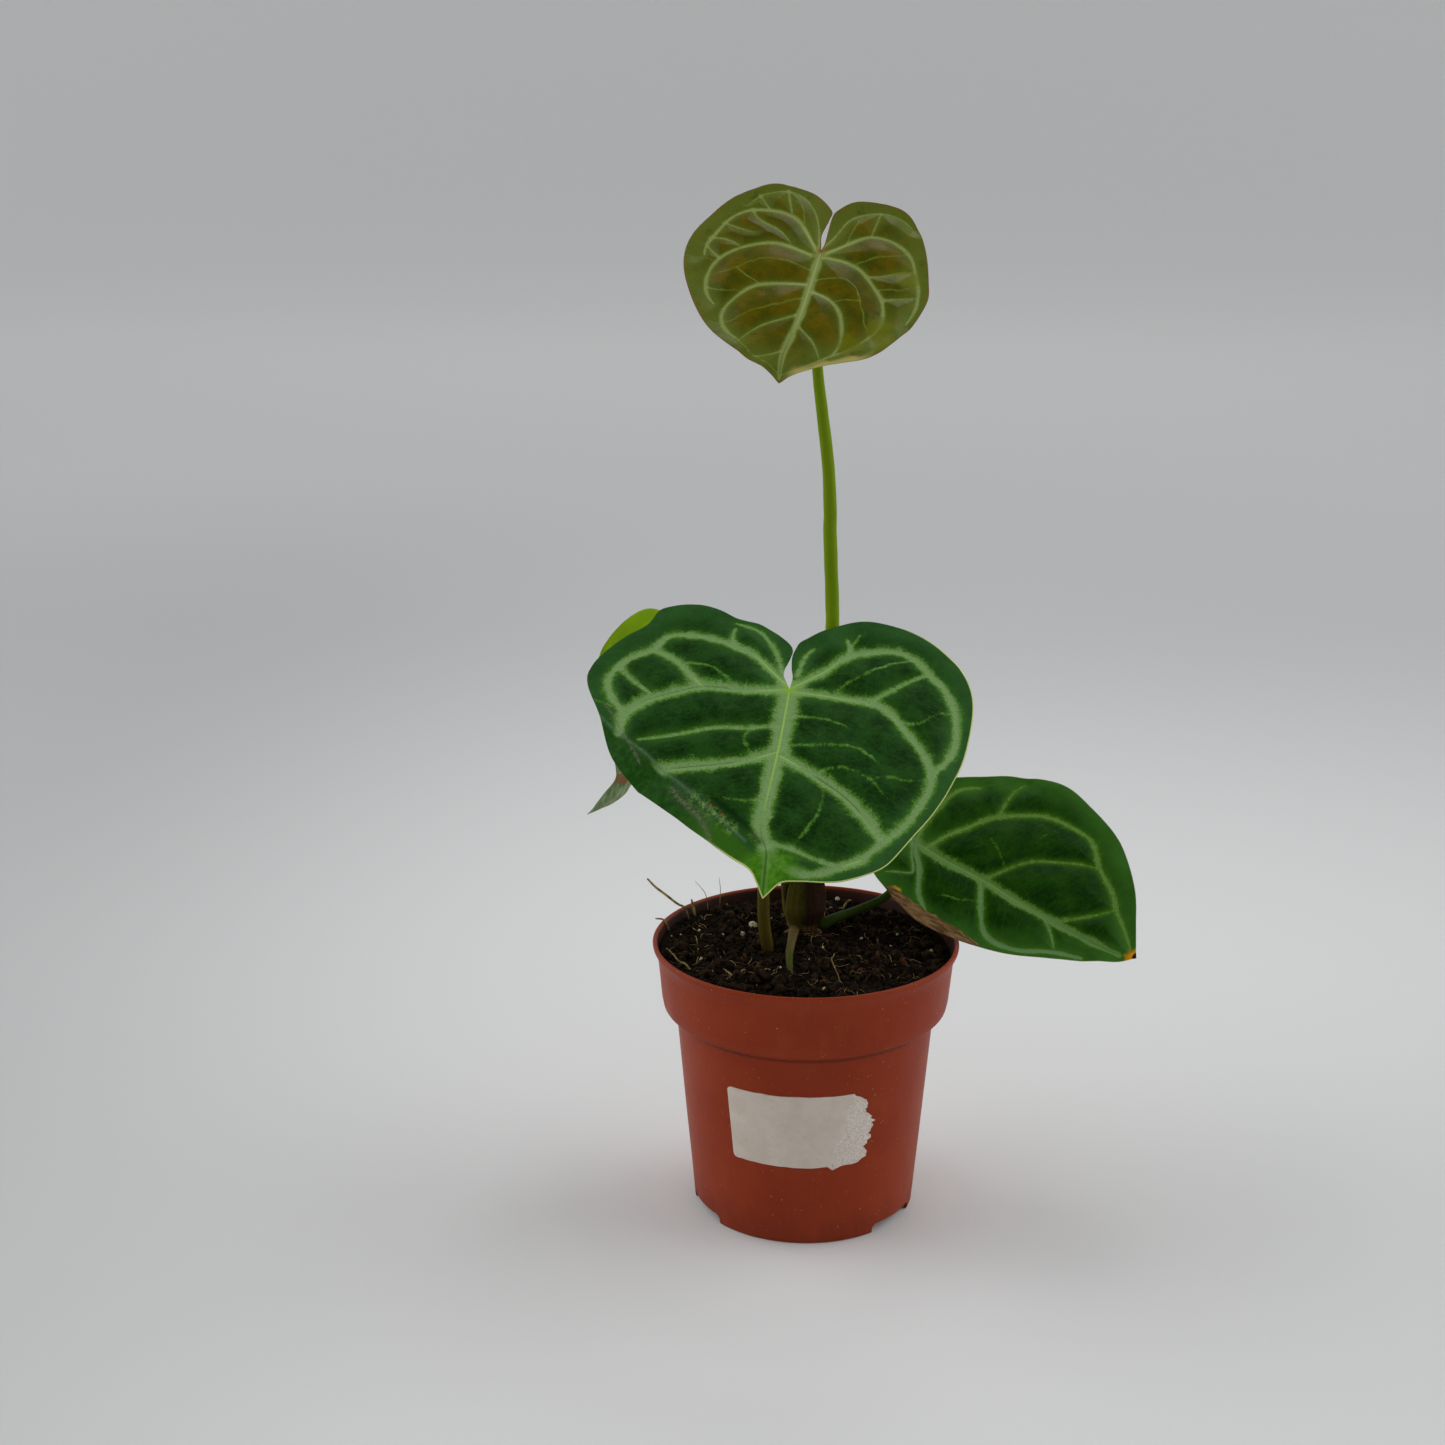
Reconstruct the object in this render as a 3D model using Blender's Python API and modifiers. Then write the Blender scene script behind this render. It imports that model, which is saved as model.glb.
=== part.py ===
"""Potted anthurium: four heart-shaped leaves on stalks, a crown and a thick root in potting mix,
in a turned plastic nursery pot with a bare paper sticker.

Lengths are written in millimetres and scaled by MM when a mesh is made. The pot's underside is at
z = 0, its axis is the Z axis, and the large front leaf points along -Y.
"""
import random
from collections import namedtuple
from math import cos, pi, radians, sin

import bmesh
import bpy
import numpy as np
from mathutils import Matrix, Vector, geometry, noise

MM = 0.001
WELD = 0.00001          # a hundredth of a millimetre
GAP = 0.32              # clearance between touching pieces
ROUND = 36              # sides of the pot and of everything that follows its wall

# Pot
POT_HEIGHT = 110.0
LIP_RADIUS = 60.2
COLLAR_TOP = 103.0      # height at which the collar starts to flare to its lip
COLLAR_TOP_RADIUS = 58.0
COLLAR_FOOT = 87.5      # height at which the collar starts to turn in
COLLAR_FOOT_RADIUS = 56.5
STEP_HEIGHT = 80.6      # height of the step under the collar
WALL_TOP_RADIUS = 50.75
FOOT_RADIUS = 43.6
WALL = 1.2
FLOOR = 4.0             # height of the floor's underside inside the foot ring
PAD_RADIUS = 22.0       # flat pad in the middle of the floor, level with the foot
NOTCH_WIDTH = 25.0
NOTCH_TURN = -5.0       # degrees, the three notches are 120 degrees apart
DRAIN_HOLES = 6
DRAIN_RADIUS = 4.0
DRAIN_CIRCLE = 32.5

# Sticker, in millimetres along the wall and above the surface, from its middle
STICKER_THICK = 0.4
STICKER_CENTRE = (-1.0, 49.6)
STICKER_OUTLINE = [(-23, 15.3), (-27, 15), (-28.3, 13.5), (-29.5, -13.5), (-28, -14.8), (4, -15.6),
                   (10.5, -15.2), (12.5, -17.2), (15.7, -15.5), (20, -15), (27.6, -13), (26.6, -3),
                   (29.4, -0.6), (28.6, 3.5), (25, 8), (26, 10), (23.3, 12), (20, 15.2), (7, 15)]

# Potting mix
MIX_EDGE = 105.3        # height of the mix at the wall
MIX_TILT = (-1.3, 0.2)  # how much higher it lies at the wall on +X and on +Y
MIX_REACH = 56.5
MIX_MOUND = 0.8         # rise towards the plant
MIX_ROUGH = 1.6
MIX_RINGS = 12
LUMPS = 30
LUMP_SIZE = (1.1, 2.6)
LUMP_REACH = 50.0       # how far out the lumps lie
LUMP_CLEAR = 3.0        # between two lumps

# Crown and stalks
CROWN = (-1.0, 18.0)
CROWN_RADIUS = 7.6
CROWN_TOP = 119.5
CROWN_DEPTH = 97.0
SHEATH_FOOT = 108.7     # height at which the sheaths leave the crown
SHEATHS = [(-105, 17, 50, 0), (10, 28, 62, 1.2), (150, 18, 55, 0)]   # direction, length, half width, lean
SHEATH_THICK = 1.0
STEM_STEP = 9.0         # between two rings of a stem
STEM_BEVEL = 2          # gives a stem eight sides
NECK = 2.5              # a stalk's last stretch, square to its blade
SOCKET_POINTS = 5       # points of a stalk's foot that its hole is made from

# Leaf blades
BLADE = 0.7             # thickness between the veins
RIB = 1.1               # how far a vein stands out below
RIB_WIDTH = 1.3
RIB_TAPER = 12.0        # ribs are lower within this distance of the margin
QUILT = 1.5             # how far the cells bulge between the veins
QUILT_REACH = 6.0
EDGE_STEP = 5.5
VEIN_STEP = 6.5
CELL_STEP = 8.5
MIN_STEP = 2.9

Fold = namedtuple("Fold", "start end slope soft")
Leaf = namedtuple("Leaf", "name junction dip spin heading left right arch folds veins colour stalk")

# Outlines are drawn on the flat blade as seen from its upper side with the tip at the bottom: the
# stalk joins at (0, 0) and each half runs from there up the slit, round its lobe and to the tip.
LEAVES = [
    Leaf("top", (3.0, 6.0, 375.5), 40, 13, 0,
         [(0, 0), (-2, 7), (-2, 11), (-1, 16), (-2, 20), (-10.5, 28), (-23, 30), (-33, 25.5),
          (-42.5, 16), (-49, 0), (-48, -15), (-40, -32), (-30, -45), (-17.5, -53.5), (-5, -59),
          (-0.5, -62)],
         [(0, 0), (0.5, 4), (0.2, 10.5), (0.2, 16), (1.5, 20), (8, 26), (19.5, 28), (28, 25),
          (35.8, 12.5), (40.6, -3), (42, -14.5), (36.5, -33), (28.5, -45.5), (15.5, -52), (4, -58),
          (-0.5, -62)],
         (4, 45), [Fold((-10, -54), (10, -54), 0.35, 6)],
         [[(0, 0), (0, -32), (-1, -60)],
          [(0, 0), (-8, 21), (-18, 28), (-29, 24)],
          [(0, 0), (-13, 15), (-27, 17), (-38, 10), (-43, -4)],
          [(0, 0), (-17, 1), (-31, -4), (-38, -14), (-36, -28), (-28, -38)],
          [(0, -17), (-16, -20), (-25, -28), (-24, -45)],
          [(0, -32), (-19, -48), (-9, -55)],
          [(0, 0), (6, 17), (17, 24), (30, 20)],
          [(0, 0), (12, 9), (28, 10), (35, 0), (39, -17), (35, -30)],
          [(0, 0), (17, -6), (28, -22), (26, -36), (15, -48)],
          [(0, -20), (13, -27), (17, -42)],
          [(0, -39), (11, -50)]],
         (0.16, 0.20, 0.03),
         [(3, 20, 112, 3.4), (5.5, 21, 150, 3.0), (8, 21, 195, 2.7), (9, 18.5, 232.5, 2.7),
          (7.8, 16, 264.5, 2.6), (7, 12, 291, 2.4), (4.2, 8.5, 315.5, 2.2), (2.2, 7, 332, 2.05),
          (1.5, 8, 350, 2.1), (2, 11, 363, 2.3)]),
    Leaf("front", (-7.0, -19.0, 216.5), 29, 5, 0,
         [(0, 0), (-3.5, 6.5), (-4, 13.5), (-2, 21), (-5, 26), (-14, 34), (-23, 37), (-39, 42.5),
          (-53, 41), (-58.5, 31.8), (-70.5, 19.5), (-76.5, 8.5), (-76.5, 0), (-69.5, -16),
          (-62, -33.5), (-49, -48.5), (-32.3, -63.5), (-15, -78), (-6, -85), (-3, -89), (0, -94)],
         [(0, 0), (0.7, 6.5), (-0.3, 14), (-0.5, 21), (3, 26), (15, 35.5), (29, 39), (44, 36),
          (54.5, 28.5), (63.5, 19), (68.5, 2), (66.5, -25), (60.5, -46), (50, -67.5), (40, -84),
          (28, -90), (13, -91.5), (6, -92), (0, -94)],
         (5, 72), [Fold((-74, -12), (-8, -76), 1.0, 4), Fold((-20, -90), (20, -90), 0.55, 6)],
         [[(0, 0), (-1, -32), (-3, -73), (-1, -91)],
          [(0, 0), (-33, 0), (-50, -6), (-61, -18)],
          [(-33, 0), (-45, 14), (-54, 19)],
          [(0, 0), (-15, 18), (-37, 27), (-50, 27), (-61, 16), (-69, 5)],
          [(-1, -18), (-31, -23), (-53, -28)],
          [(-1, -32), (-18, -39), (-45, -44)],
          [(0, 0), (4, 19), (9, 27)],
          [(0, 0), (14, 13), (28, 24), (44, 24), (56, 12), (62, -5), (62, -20)],
          [(0, 0), (30, -3), (47, -19), (55, -38), (49, -58), (38, -73), (21, -86)],
          [(30, -3), (44, 11), (54, 14)],
          [(-1, -32), (17, -45), (32, -59), (38, -73)],
          [(-3, -73), (10, -79), (21, -86)]],
         (0.012, 0.085, 0.022),
         [(-14.5, -2.5, 97, 2.5), (-15, -3.2, 107, 2.4), (-16.5, -4.5, 122, 2.3),
          (-16, -7, 150, 2.2), (-12, -10.5, 185, 2.2), (-8.5, -14, 204, 2.3)]),
    Leaf("right", (43.5, 29.5, 140.4), 40, -58, 0,
         [(0, 0), (-0.7, 5), (-3, 11), (-9, 15), (-16, 13.5), (-21.5, 6.5), (-24.5, 0),
          (-28, -9), (-30.5, -20), (-30, -33), (-27.5, -44), (-22, -60.5), (-13, -78),
          (-5.5, -91.5), (1, -99)],
         [(0, 0), (0.7, 5), (3, 11), (11, 15.7), (20.5, 15), (29.5, 8.8), (36.2, 1.3), (43.4, -8),
          (50.8, -19.5), (57, -37), (52, -55.5), (43.2, -70.5), (28, -84), (13, -92.5), (1, -99)],
         (4, 50), [],
         [[(0, 0), (-1, -35), (-2, -70), (-1, -94)],
          [(0, 0), (18, -15), (39, -36), (41, -52), (29, -68), (16, -82)],
          [(-1, -32), (17, -43), (29, -68)],
          [(-2, -65), (16, -82)],
          [(0, 0), (24, 0), (37, -8), (48, -22)],
          [(0, 0), (-16, -11), (-24, -19)],
          [(-1, -31), (-22, -45), (-20, -60), (-9, -82)],
          [(-2, -58), (-12, -70)]],
         (0.014, 0.075, 0.018),
         [(6.7, 17.0, 109.1, 2.3), (12.2, 19, 111.4, 2.0), (22.4, 24.6, 113.4, 1.7),
          (32.6, 27.8, 117.8, 1.7), (39.5, 33, 126, 1.8), (43.2, 36, 132.5, 2.0)]),
    Leaf("back", (-57.0, 54.0, 207.5), 62, 0, -150,
         [(0, 0), (-0.7, 7), (-1, 14), (-4, 19), (-10, 21.5), (-20, 20.5), (-30, 13), (-37, 1),
          (-38, -13), (-34, -27), (-25, -43), (-13, -57), (-4, -65.5), (0.5, -71), (2, -76.5),
          (7.3, -81), (13, -81.8), (19, -83.5)],
         [(0, 0), (0.7, 7), (1.5, 14), (4, 22), (9, 27), (17, 29), (26, 26), (31.5, 18),
          (33.5, 10), (32, -4), (27, -20), (19, -38), (12.5, -53), (9.8, -61), (9.6, -66),
          (13, -72.5), (16, -78), (19, -83.5)],
         (5, 38), [],
         [[(0, 0), (1, -25), (2, -50), (4, -66), (9, -75), (15, -80)],
          [(0, 0), (-17, 11), (-29, 3), (-31, -14), (-22, -34), (-8, -56)],
          [(0, 0), (-12, -14), (-22, -34)],
          [(0, 0), (14, 18), (24, 12), (26, -4), (18, -26), (9, -50)],
          [(1, -25), (14, -36)],
          [(0, 0), (13, -12), (18, -26)]],
         (0.22, 0.36, 0.03),
         [(-6, 22.5, 112, 2.6), (-8, 27, 130, 2.3), (-13, 34, 152, 2.1), (-25, 39.5, 178, 2.0),
          (-41, 45.5, 198, 2.0), (-51, 47, 204, 2.1)]),
]

ROOT = [(-4.4, 11.8, 109.6, 2.3), (-5.4, 2.5, 108.7, 2.05), (-6.2, -7, 107.8, 1.8),
        (-6.3, -15.4, 107.0, 1.65), (-5.9, -22.5, 105.8, 1.5), (-5.2, -27, 103.6, 1.2)]


def collection(name):
    """A new collection in the scene."""
    group = bpy.data.collections.new(name)
    bpy.context.scene.collection.children.link(group)
    return group


def material(name, colour, roughness):
    """A Principled material of one colour."""
    mat = bpy.data.materials.new(name)
    mat.use_nodes = True
    shader = mat.node_tree.nodes["Principled BSDF"]
    shader.inputs["Base Color"].default_value = (*colour, 1.0)
    shader.inputs["Roughness"].default_value = roughness
    shader.inputs["Metallic"].default_value = 0.0
    return mat


def new_object(name, mesh, group, mat=None):
    """Link a mesh as an object in a collection."""
    obj = bpy.data.objects.new(name, mesh)
    group.objects.link(obj)
    if mat:
        mesh.materials.append(mat)
    return obj


def applied(obj):
    """Replace an object's mesh by its evaluated one, so that its modifiers are applied."""
    depsgraph = bpy.context.evaluated_depsgraph_get()
    mesh = bpy.data.meshes.new_from_object(obj.evaluated_get(depsgraph))
    obj.modifiers.clear()
    obj.data = mesh
    return obj


def tidied(obj):
    """Apply a cut or joined piece, weld what the cut left and keep only its largest body."""
    applied(obj)
    shape = bmesh.new()
    shape.from_mesh(obj.data)
    bmesh.ops.triangulate(shape, faces=shape.faces)
    bmesh.ops.remove_doubles(shape, verts=shape.verts, dist=WELD)
    bmesh.ops.dissolve_degenerate(shape, edges=shape.edges, dist=WELD)
    bodies = []
    left = set(shape.verts)
    while left:
        body = set()
        edge = [next(iter(left))]
        while edge:
            vertex = edge.pop()
            if vertex not in body:
                body.add(vertex)
                edge += [e.other_vert(vertex) for e in vertex.link_edges]
        bodies.append(body)
        left -= body
    largest = max(bodies, key=len)
    scraps = [vertex for body in bodies if body is not largest for vertex in body]
    bmesh.ops.delete(shape, geom=scraps, context="VERTS")
    shape.to_mesh(obj.data)
    shape.free()
    return obj


def cutter(obj):
    """Keep a guide object out of renders."""
    obj.hide_render = True
    obj.display_type = "WIRE"
    return obj


def boolean(obj, operation, other, solver="EXACT"):
    """Join or cut an object with another object, or with every object of a collection."""
    mod = obj.modifiers.new(operation.title(), "BOOLEAN")
    mod.operation = operation
    mod.solver = solver
    if isinstance(other, bpy.types.Collection):
        mod.operand_type = "COLLECTION"
        mod.collection = other
    else:
        mod.object = other
    return mod


def clear_collection(group):
    """Remove a collection's objects once they are joined."""
    for obj in list(group.objects):
        bpy.data.objects.remove(obj)
    bpy.data.collections.remove(group)


def smooth_curve(points, step):
    """Catmull-Rom curve through the points, resampled at even steps of about the given length."""
    p = np.array(points, float)
    p = np.vstack([2 * p[0] - p[1], p, 2 * p[-1] - p[-2]])
    t = np.linspace(0, 1, 12, endpoint=False)[:, None]
    spans = []
    for a, b, c, d in zip(p[:-3], p[1:-2], p[2:-1], p[3:]):
        spans.append(0.5 * (2 * b + (c - a) * t + (2 * a - 5 * b + 4 * c - d) * t ** 2
                            + (3 * b - a - 3 * c + d) * t ** 3))
    dense = np.vstack(spans + [p[-2:-1]])
    run = np.concatenate([[0], np.cumsum(np.linalg.norm(np.diff(dense, axis=0), axis=1))])
    at = np.linspace(0, run[-1], max(2, int(round(run[-1] / step)) + 1))
    return np.stack([np.interp(at, run, dense[:, k]) for k in range(p.shape[1])], axis=1)


def distance_to_lines(points, lines):
    """Shortest distance from each flat point to a set of polylines."""
    best = np.full(len(points), 1e9)
    for line in lines:
        for a, b in zip(line[:-1], line[1:]):
            along = np.clip((points - a) @ (b - a) / ((b - a) @ (b - a)), 0, 1)
            best = np.minimum(best, np.linalg.norm(points - a - along[:, None] * (b - a), axis=1))
    return best


def thinned(points, taken, clear):
    """The points that keep a distance from those taken and from each other."""
    kept = list(taken)
    fresh = []
    for p in points:
        if min(np.hypot(*(p - q)) for q in kept) >= clear:
            kept.append(p)
            fresh.append(p)
    return fresh


def inside(points, polygon):
    """True for each point within a closed polygon, by counting the edges to its right."""
    x, y = points[:, 0], points[:, 1]
    hit = np.zeros(len(points), bool)
    for a, b in zip(polygon, np.roll(polygon, -1, axis=0)):
        crosses = (a[1] > y) != (b[1] > y)
        if a[1] != b[1]:
            hit ^= crosses & (x < (b[0] - a[0]) * (y - a[1]) / (b[1] - a[1]) + a[0])
    return hit


def sheet_mesh(name, outline, inner, shape, creases=()):
    """An open surface: a flat outline and inner points made triangles, then bent by a function."""
    count = len(outline)
    flat = [Vector(p) for p in np.vstack([outline, inner])]
    verts, _, faces, *_ = geometry.delaunay_2d_cdt(flat, creases, [list(range(count))], 1, 1e-4)
    bent = shape(np.array([tuple(v) for v in verts])) * MM
    mesh = bpy.data.meshes.new(name)
    mesh.from_pydata([tuple(p) for p in bent], [], [tuple(f) for f in faces])
    return mesh, np.array([tuple(v) for v in verts])


def ramp(s, soft):
    """Zero for a negative length, the length itself for a positive one, rounded between."""
    return 0.5 * (s + np.sqrt(s * s + soft * soft))


def blade_height(leaf, flat, vein_distance):
    """Height of a blade over its flat outline: arched across, bent past its folds and quilted."""
    u, v = flat[:, 0], flat[:, 1]
    drop, half_width = leaf.arch
    height = -drop * (u / half_width) ** 2
    for fold in leaf.folds:
        along = np.subtract(fold.end, fold.start) / np.hypot(*np.subtract(fold.end, fold.start))
        beyond = (u - fold.start[0]) * along[1] - (v - fold.start[1]) * along[0]
        at_stalk = -fold.start[0] * along[1] + fold.start[1] * along[0]
        height -= fold.slope * (ramp(beyond, fold.soft) - ramp(at_stalk, fold.soft))
    return height + QUILT * (1 - np.exp(-(vein_distance / QUILT_REACH) ** 2))


def blade_frame(leaf):
    """Turn of a blade: spun in its own plane, tipped towards -Y, then turned about the vertical."""
    return (Matrix.Rotation(radians(leaf.heading), 3, "Z") @ Matrix.Rotation(radians(leaf.dip), 3, "X")
            @ Matrix.Rotation(radians(-leaf.spin), 3, "Z"))


def make_blade(leaf, group):
    """A leaf blade: triangles along its margin, its veins and its cells, thicker on the veins."""
    left = smooth_curve(leaf.left, EDGE_STEP)
    right = smooth_curve(leaf.right, EDGE_STEP)
    outline = np.vstack([left[:-1], right[::-1][:-1]])
    veins = [smooth_curve(vein, VEIN_STEP) for vein in leaf.veins]
    low, high = outline.min(axis=0), outline.max(axis=0)
    rows = np.arange(low[1], high[1], CELL_STEP * 0.866)
    grid = [(x + (k % 2) * CELL_STEP / 2, y) for k, y in enumerate(rows)
            for x in np.arange(low[0], high[0], CELL_STEP)]
    candidates = np.vstack(veins + [np.array(grid)])
    candidates = candidates[inside(candidates, outline)]
    on_vein = distance_to_lines(candidates, veins) < 0.01
    vein_points = thinned(candidates[on_vein], outline, MIN_STEP)
    cell_points = thinned(candidates[~on_vein], list(outline) + vein_points, 0.62 * CELL_STEP)
    inner = np.array(vein_points + cell_points)

    def shape(flat):
        height = blade_height(leaf, flat, distance_to_lines(flat, veins))
        return np.column_stack([flat, height])

    mesh, flat = sheet_mesh("leaf_" + leaf.name, outline, inner, shape)
    skin = material("blade_" + leaf.name, leaf.colour, 0.4)
    blade = new_object("leaf_" + leaf.name, mesh, group, skin)
    blade.location = Vector(leaf.junction) * MM
    blade.rotation_mode = "QUATERNION"
    blade.rotation_quaternion = blade_frame(leaf).to_quaternion()
    ribs = blade.vertex_groups.new(name="ribs")
    from_margin = distance_to_lines(flat, [np.vstack([outline, outline[:1]])])
    weight = np.exp(-(distance_to_lines(flat, veins) / RIB_WIDTH) ** 2)
    weight *= np.clip(from_margin / RIB_TAPER, 0.25, 1)
    for k, value in enumerate(np.where(from_margin < 0.01, 0, weight)):
        ribs.add([k], float(value), "REPLACE")
    solid = blade.modifiers.new("Thickness", "SOLIDIFY")
    solid.thickness = (BLADE + RIB) * MM
    solid.offset = -1
    solid.vertex_group = "ribs"
    solid.thickness_vertex_group = BLADE / (BLADE + RIB)
    mesh.shade_smooth()
    return blade


def tube(name, points, extra, group, mat=None, extend=0.0):
    """A tapering round stem through points of (x, y, z, radius), as a mesh with welded caps."""
    line = smooth_curve(points, STEM_STEP)
    if extend:
        for end, beside in ((0, 1), (-1, -2)):
            out = line[end, :3] - line[beside, :3]
            line[end, :3] += extend * out / np.linalg.norm(out)
    curve = bpy.data.curves.new(name, "CURVE")
    curve.dimensions = "3D"
    curve.bevel_depth = MM
    curve.bevel_resolution = STEM_BEVEL
    curve.use_fill_caps = True
    spline = curve.splines.new("POLY")
    spline.points.add(len(line) - 1)
    for point, (x, y, z, radius) in zip(spline.points, line):
        point.co = (x * MM, y * MM, z * MM, 1)
        point.radius = radius + extra
    curve_object = bpy.data.objects.new(name + "_curve", curve)
    group.objects.link(curve_object)
    depsgraph = bpy.context.evaluated_depsgraph_get()
    mesh = bpy.data.meshes.new_from_object(curve_object.evaluated_get(depsgraph))
    bpy.data.objects.remove(curve_object)
    shape = bmesh.new()
    shape.from_mesh(mesh)
    bmesh.ops.remove_doubles(shape, verts=shape.verts, dist=WELD)
    bmesh.ops.recalc_face_normals(shape, faces=shape.faces)
    shape.to_mesh(mesh)
    shape.free()
    mesh.materials.clear()
    mesh.shade_smooth()
    mesh.set_sharp_from_angle(angle=radians(50))
    return new_object(name, mesh, group, mat)


def stalk_line(leaf):
    """A stalk's points, ended square to the blade and just below its ribs."""
    below = Vector(leaf.junction) - blade_frame(leaf) @ Vector((0, 0, BLADE + RIB * 0.85 + GAP))
    neck = below - blade_frame(leaf) @ Vector((0, 0, NECK))
    radius = leaf.stalk[-1][3]
    return leaf.stalk + [(*neck, radius), (*below, radius)]


def turned(name, profile, group, mat=None):
    """A turned body from a profile of (radius, height) that runs down its outer side."""
    mesh = bpy.data.meshes.new(name)
    mesh.from_pydata([(r * MM, 0, z * MM) for r, z in profile],
                     [(k, k + 1) for k in range(len(profile) - 1)], [])
    obj = new_object(name, mesh, group, mat)
    screw = obj.modifiers.new("Turn", "SCREW")
    screw.steps = ROUND
    screw.render_steps = ROUND
    screw.use_merge_vertices = True
    screw.merge_threshold = 0.00005
    screw.use_smooth_shade = True
    return obj


def wall_radius(height):
    """Outer radius of the pot's lower wall."""
    return FOOT_RADIUS + (WALL_TOP_RADIUS - FOOT_RADIUS) * height / STEP_HEIGHT


def inner_profile(clear):
    """Inside of the pot from the wall's top down to the axis, moved inwards by a clearance."""
    return [(COLLAR_TOP_RADIUS - WALL - clear, COLLAR_TOP),
            (COLLAR_FOOT_RADIUS - WALL - clear, COLLAR_FOOT + 0.4),
            (COLLAR_FOOT_RADIUS - WALL - 0.8 - clear, 84.4 + clear),
            (WALL_TOP_RADIUS - WALL - clear, STEP_HEIGHT + clear),
            (wall_radius(FLOOR + 1.4) - WALL - clear, FLOOR + 1.4 + clear),
            (PAD_RADIUS + 2 - 0.4 * clear, FLOOR + 1.4 + clear),
            (PAD_RADIUS - 0.6 * clear, 1.4 + clear),
            (0, 1.4 + clear)]


def make_pot(group, cutters):
    """The pot: deep collar with a thin lip, step, sloping wall, notched foot and drained floor."""
    outside = [(LIP_RADIUS - 1.4, POT_HEIGHT), (LIP_RADIUS - 0.4, POT_HEIGHT),
               (LIP_RADIUS, POT_HEIGHT - 0.6), (LIP_RADIUS - 0.2, POT_HEIGHT - 2),
               (COLLAR_TOP_RADIUS + 0.9, COLLAR_TOP + 2.8), (COLLAR_TOP_RADIUS, COLLAR_TOP),
               (COLLAR_FOOT_RADIUS, COLLAR_FOOT), (COLLAR_FOOT_RADIUS - 0.7, 84),
               (WALL_TOP_RADIUS + 0.8, STEP_HEIGHT + 0.3), (WALL_TOP_RADIUS, STEP_HEIGHT - 0.4),
               (FOOT_RADIUS + 0.1, 0.8), (FOOT_RADIUS - 0.3, 0), (FOOT_RADIUS - WALL, 0),
               (FOOT_RADIUS - WALL, FLOOR), (PAD_RADIUS + 3, FLOOR), (PAD_RADIUS + 1, 0), (0, 0)]
    inside_up = inner_profile(0)[::-1] + [(LIP_RADIUS - 2, POT_HEIGHT - 1.2)]
    pot = turned("pot", inside_up + outside, group, material("pot_plastic", (0.40, 0.085, 0.03), 0.42))
    for k in range(3):
        bpy.ops.mesh.primitive_cube_add(size=1)
        notch = cutter(bpy.context.object)
        notch.name = f"notch_cutter_{k}"
        notch.data.transform(Matrix.Diagonal((NOTCH_WIDTH * MM, 12 * MM, 8 * MM, 1)))
        for vertex in notch.data.vertices:
            if vertex.co.z > 0:
                vertex.co.x *= 0.86
        turn = radians(NOTCH_TURN + 60 + 120 * k)
        notch.location = (sin(turn) * FOOT_RADIUS * MM, -cos(turn) * FOOT_RADIUS * MM, -0.2 * MM)
        notch.rotation_euler = (0, 0, turn)
        move_to(notch, cutters)
        boolean(pot, "DIFFERENCE", notch)
    for k in range(DRAIN_HOLES):
        bpy.ops.mesh.primitive_cylinder_add(vertices=10, radius=DRAIN_RADIUS * MM, depth=8 * MM)
        hole = cutter(bpy.context.object)
        hole.name = f"drain_cutter_{k}"
        turn = 2 * pi * (k + 0.5) / DRAIN_HOLES
        hole.location = (cos(turn) * DRAIN_CIRCLE * MM, sin(turn) * DRAIN_CIRCLE * MM, (FLOOR + 0.7) * MM)
        move_to(hole, cutters)
        boolean(pot, "DIFFERENCE", hole)
    return pot


def move_to(obj, group):
    """Put an object made by an operator in one collection only."""
    for other in list(obj.users_collection):
        other.objects.unlink(obj)
    group.objects.link(obj)


def mix_height(x, y):
    """Height of the potting mix: a low mound around the plant, lower at the right, with crumbs."""
    r = min(1.0, (x * x + y * y) ** 0.5 / MIX_REACH)
    level = MIX_EDGE + (MIX_TILT[0] * x + MIX_TILT[1] * y) / MIX_REACH + MIX_MOUND * (1 - r * r)
    rough = noise.noise(Vector((x, y, 0)) / 7.0) + 0.6 * noise.noise(Vector((x, y, 9)) / 3.1)
    return level + MIX_ROUGH * rough * min(1.0, 6 * (1.0 - r))


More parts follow.
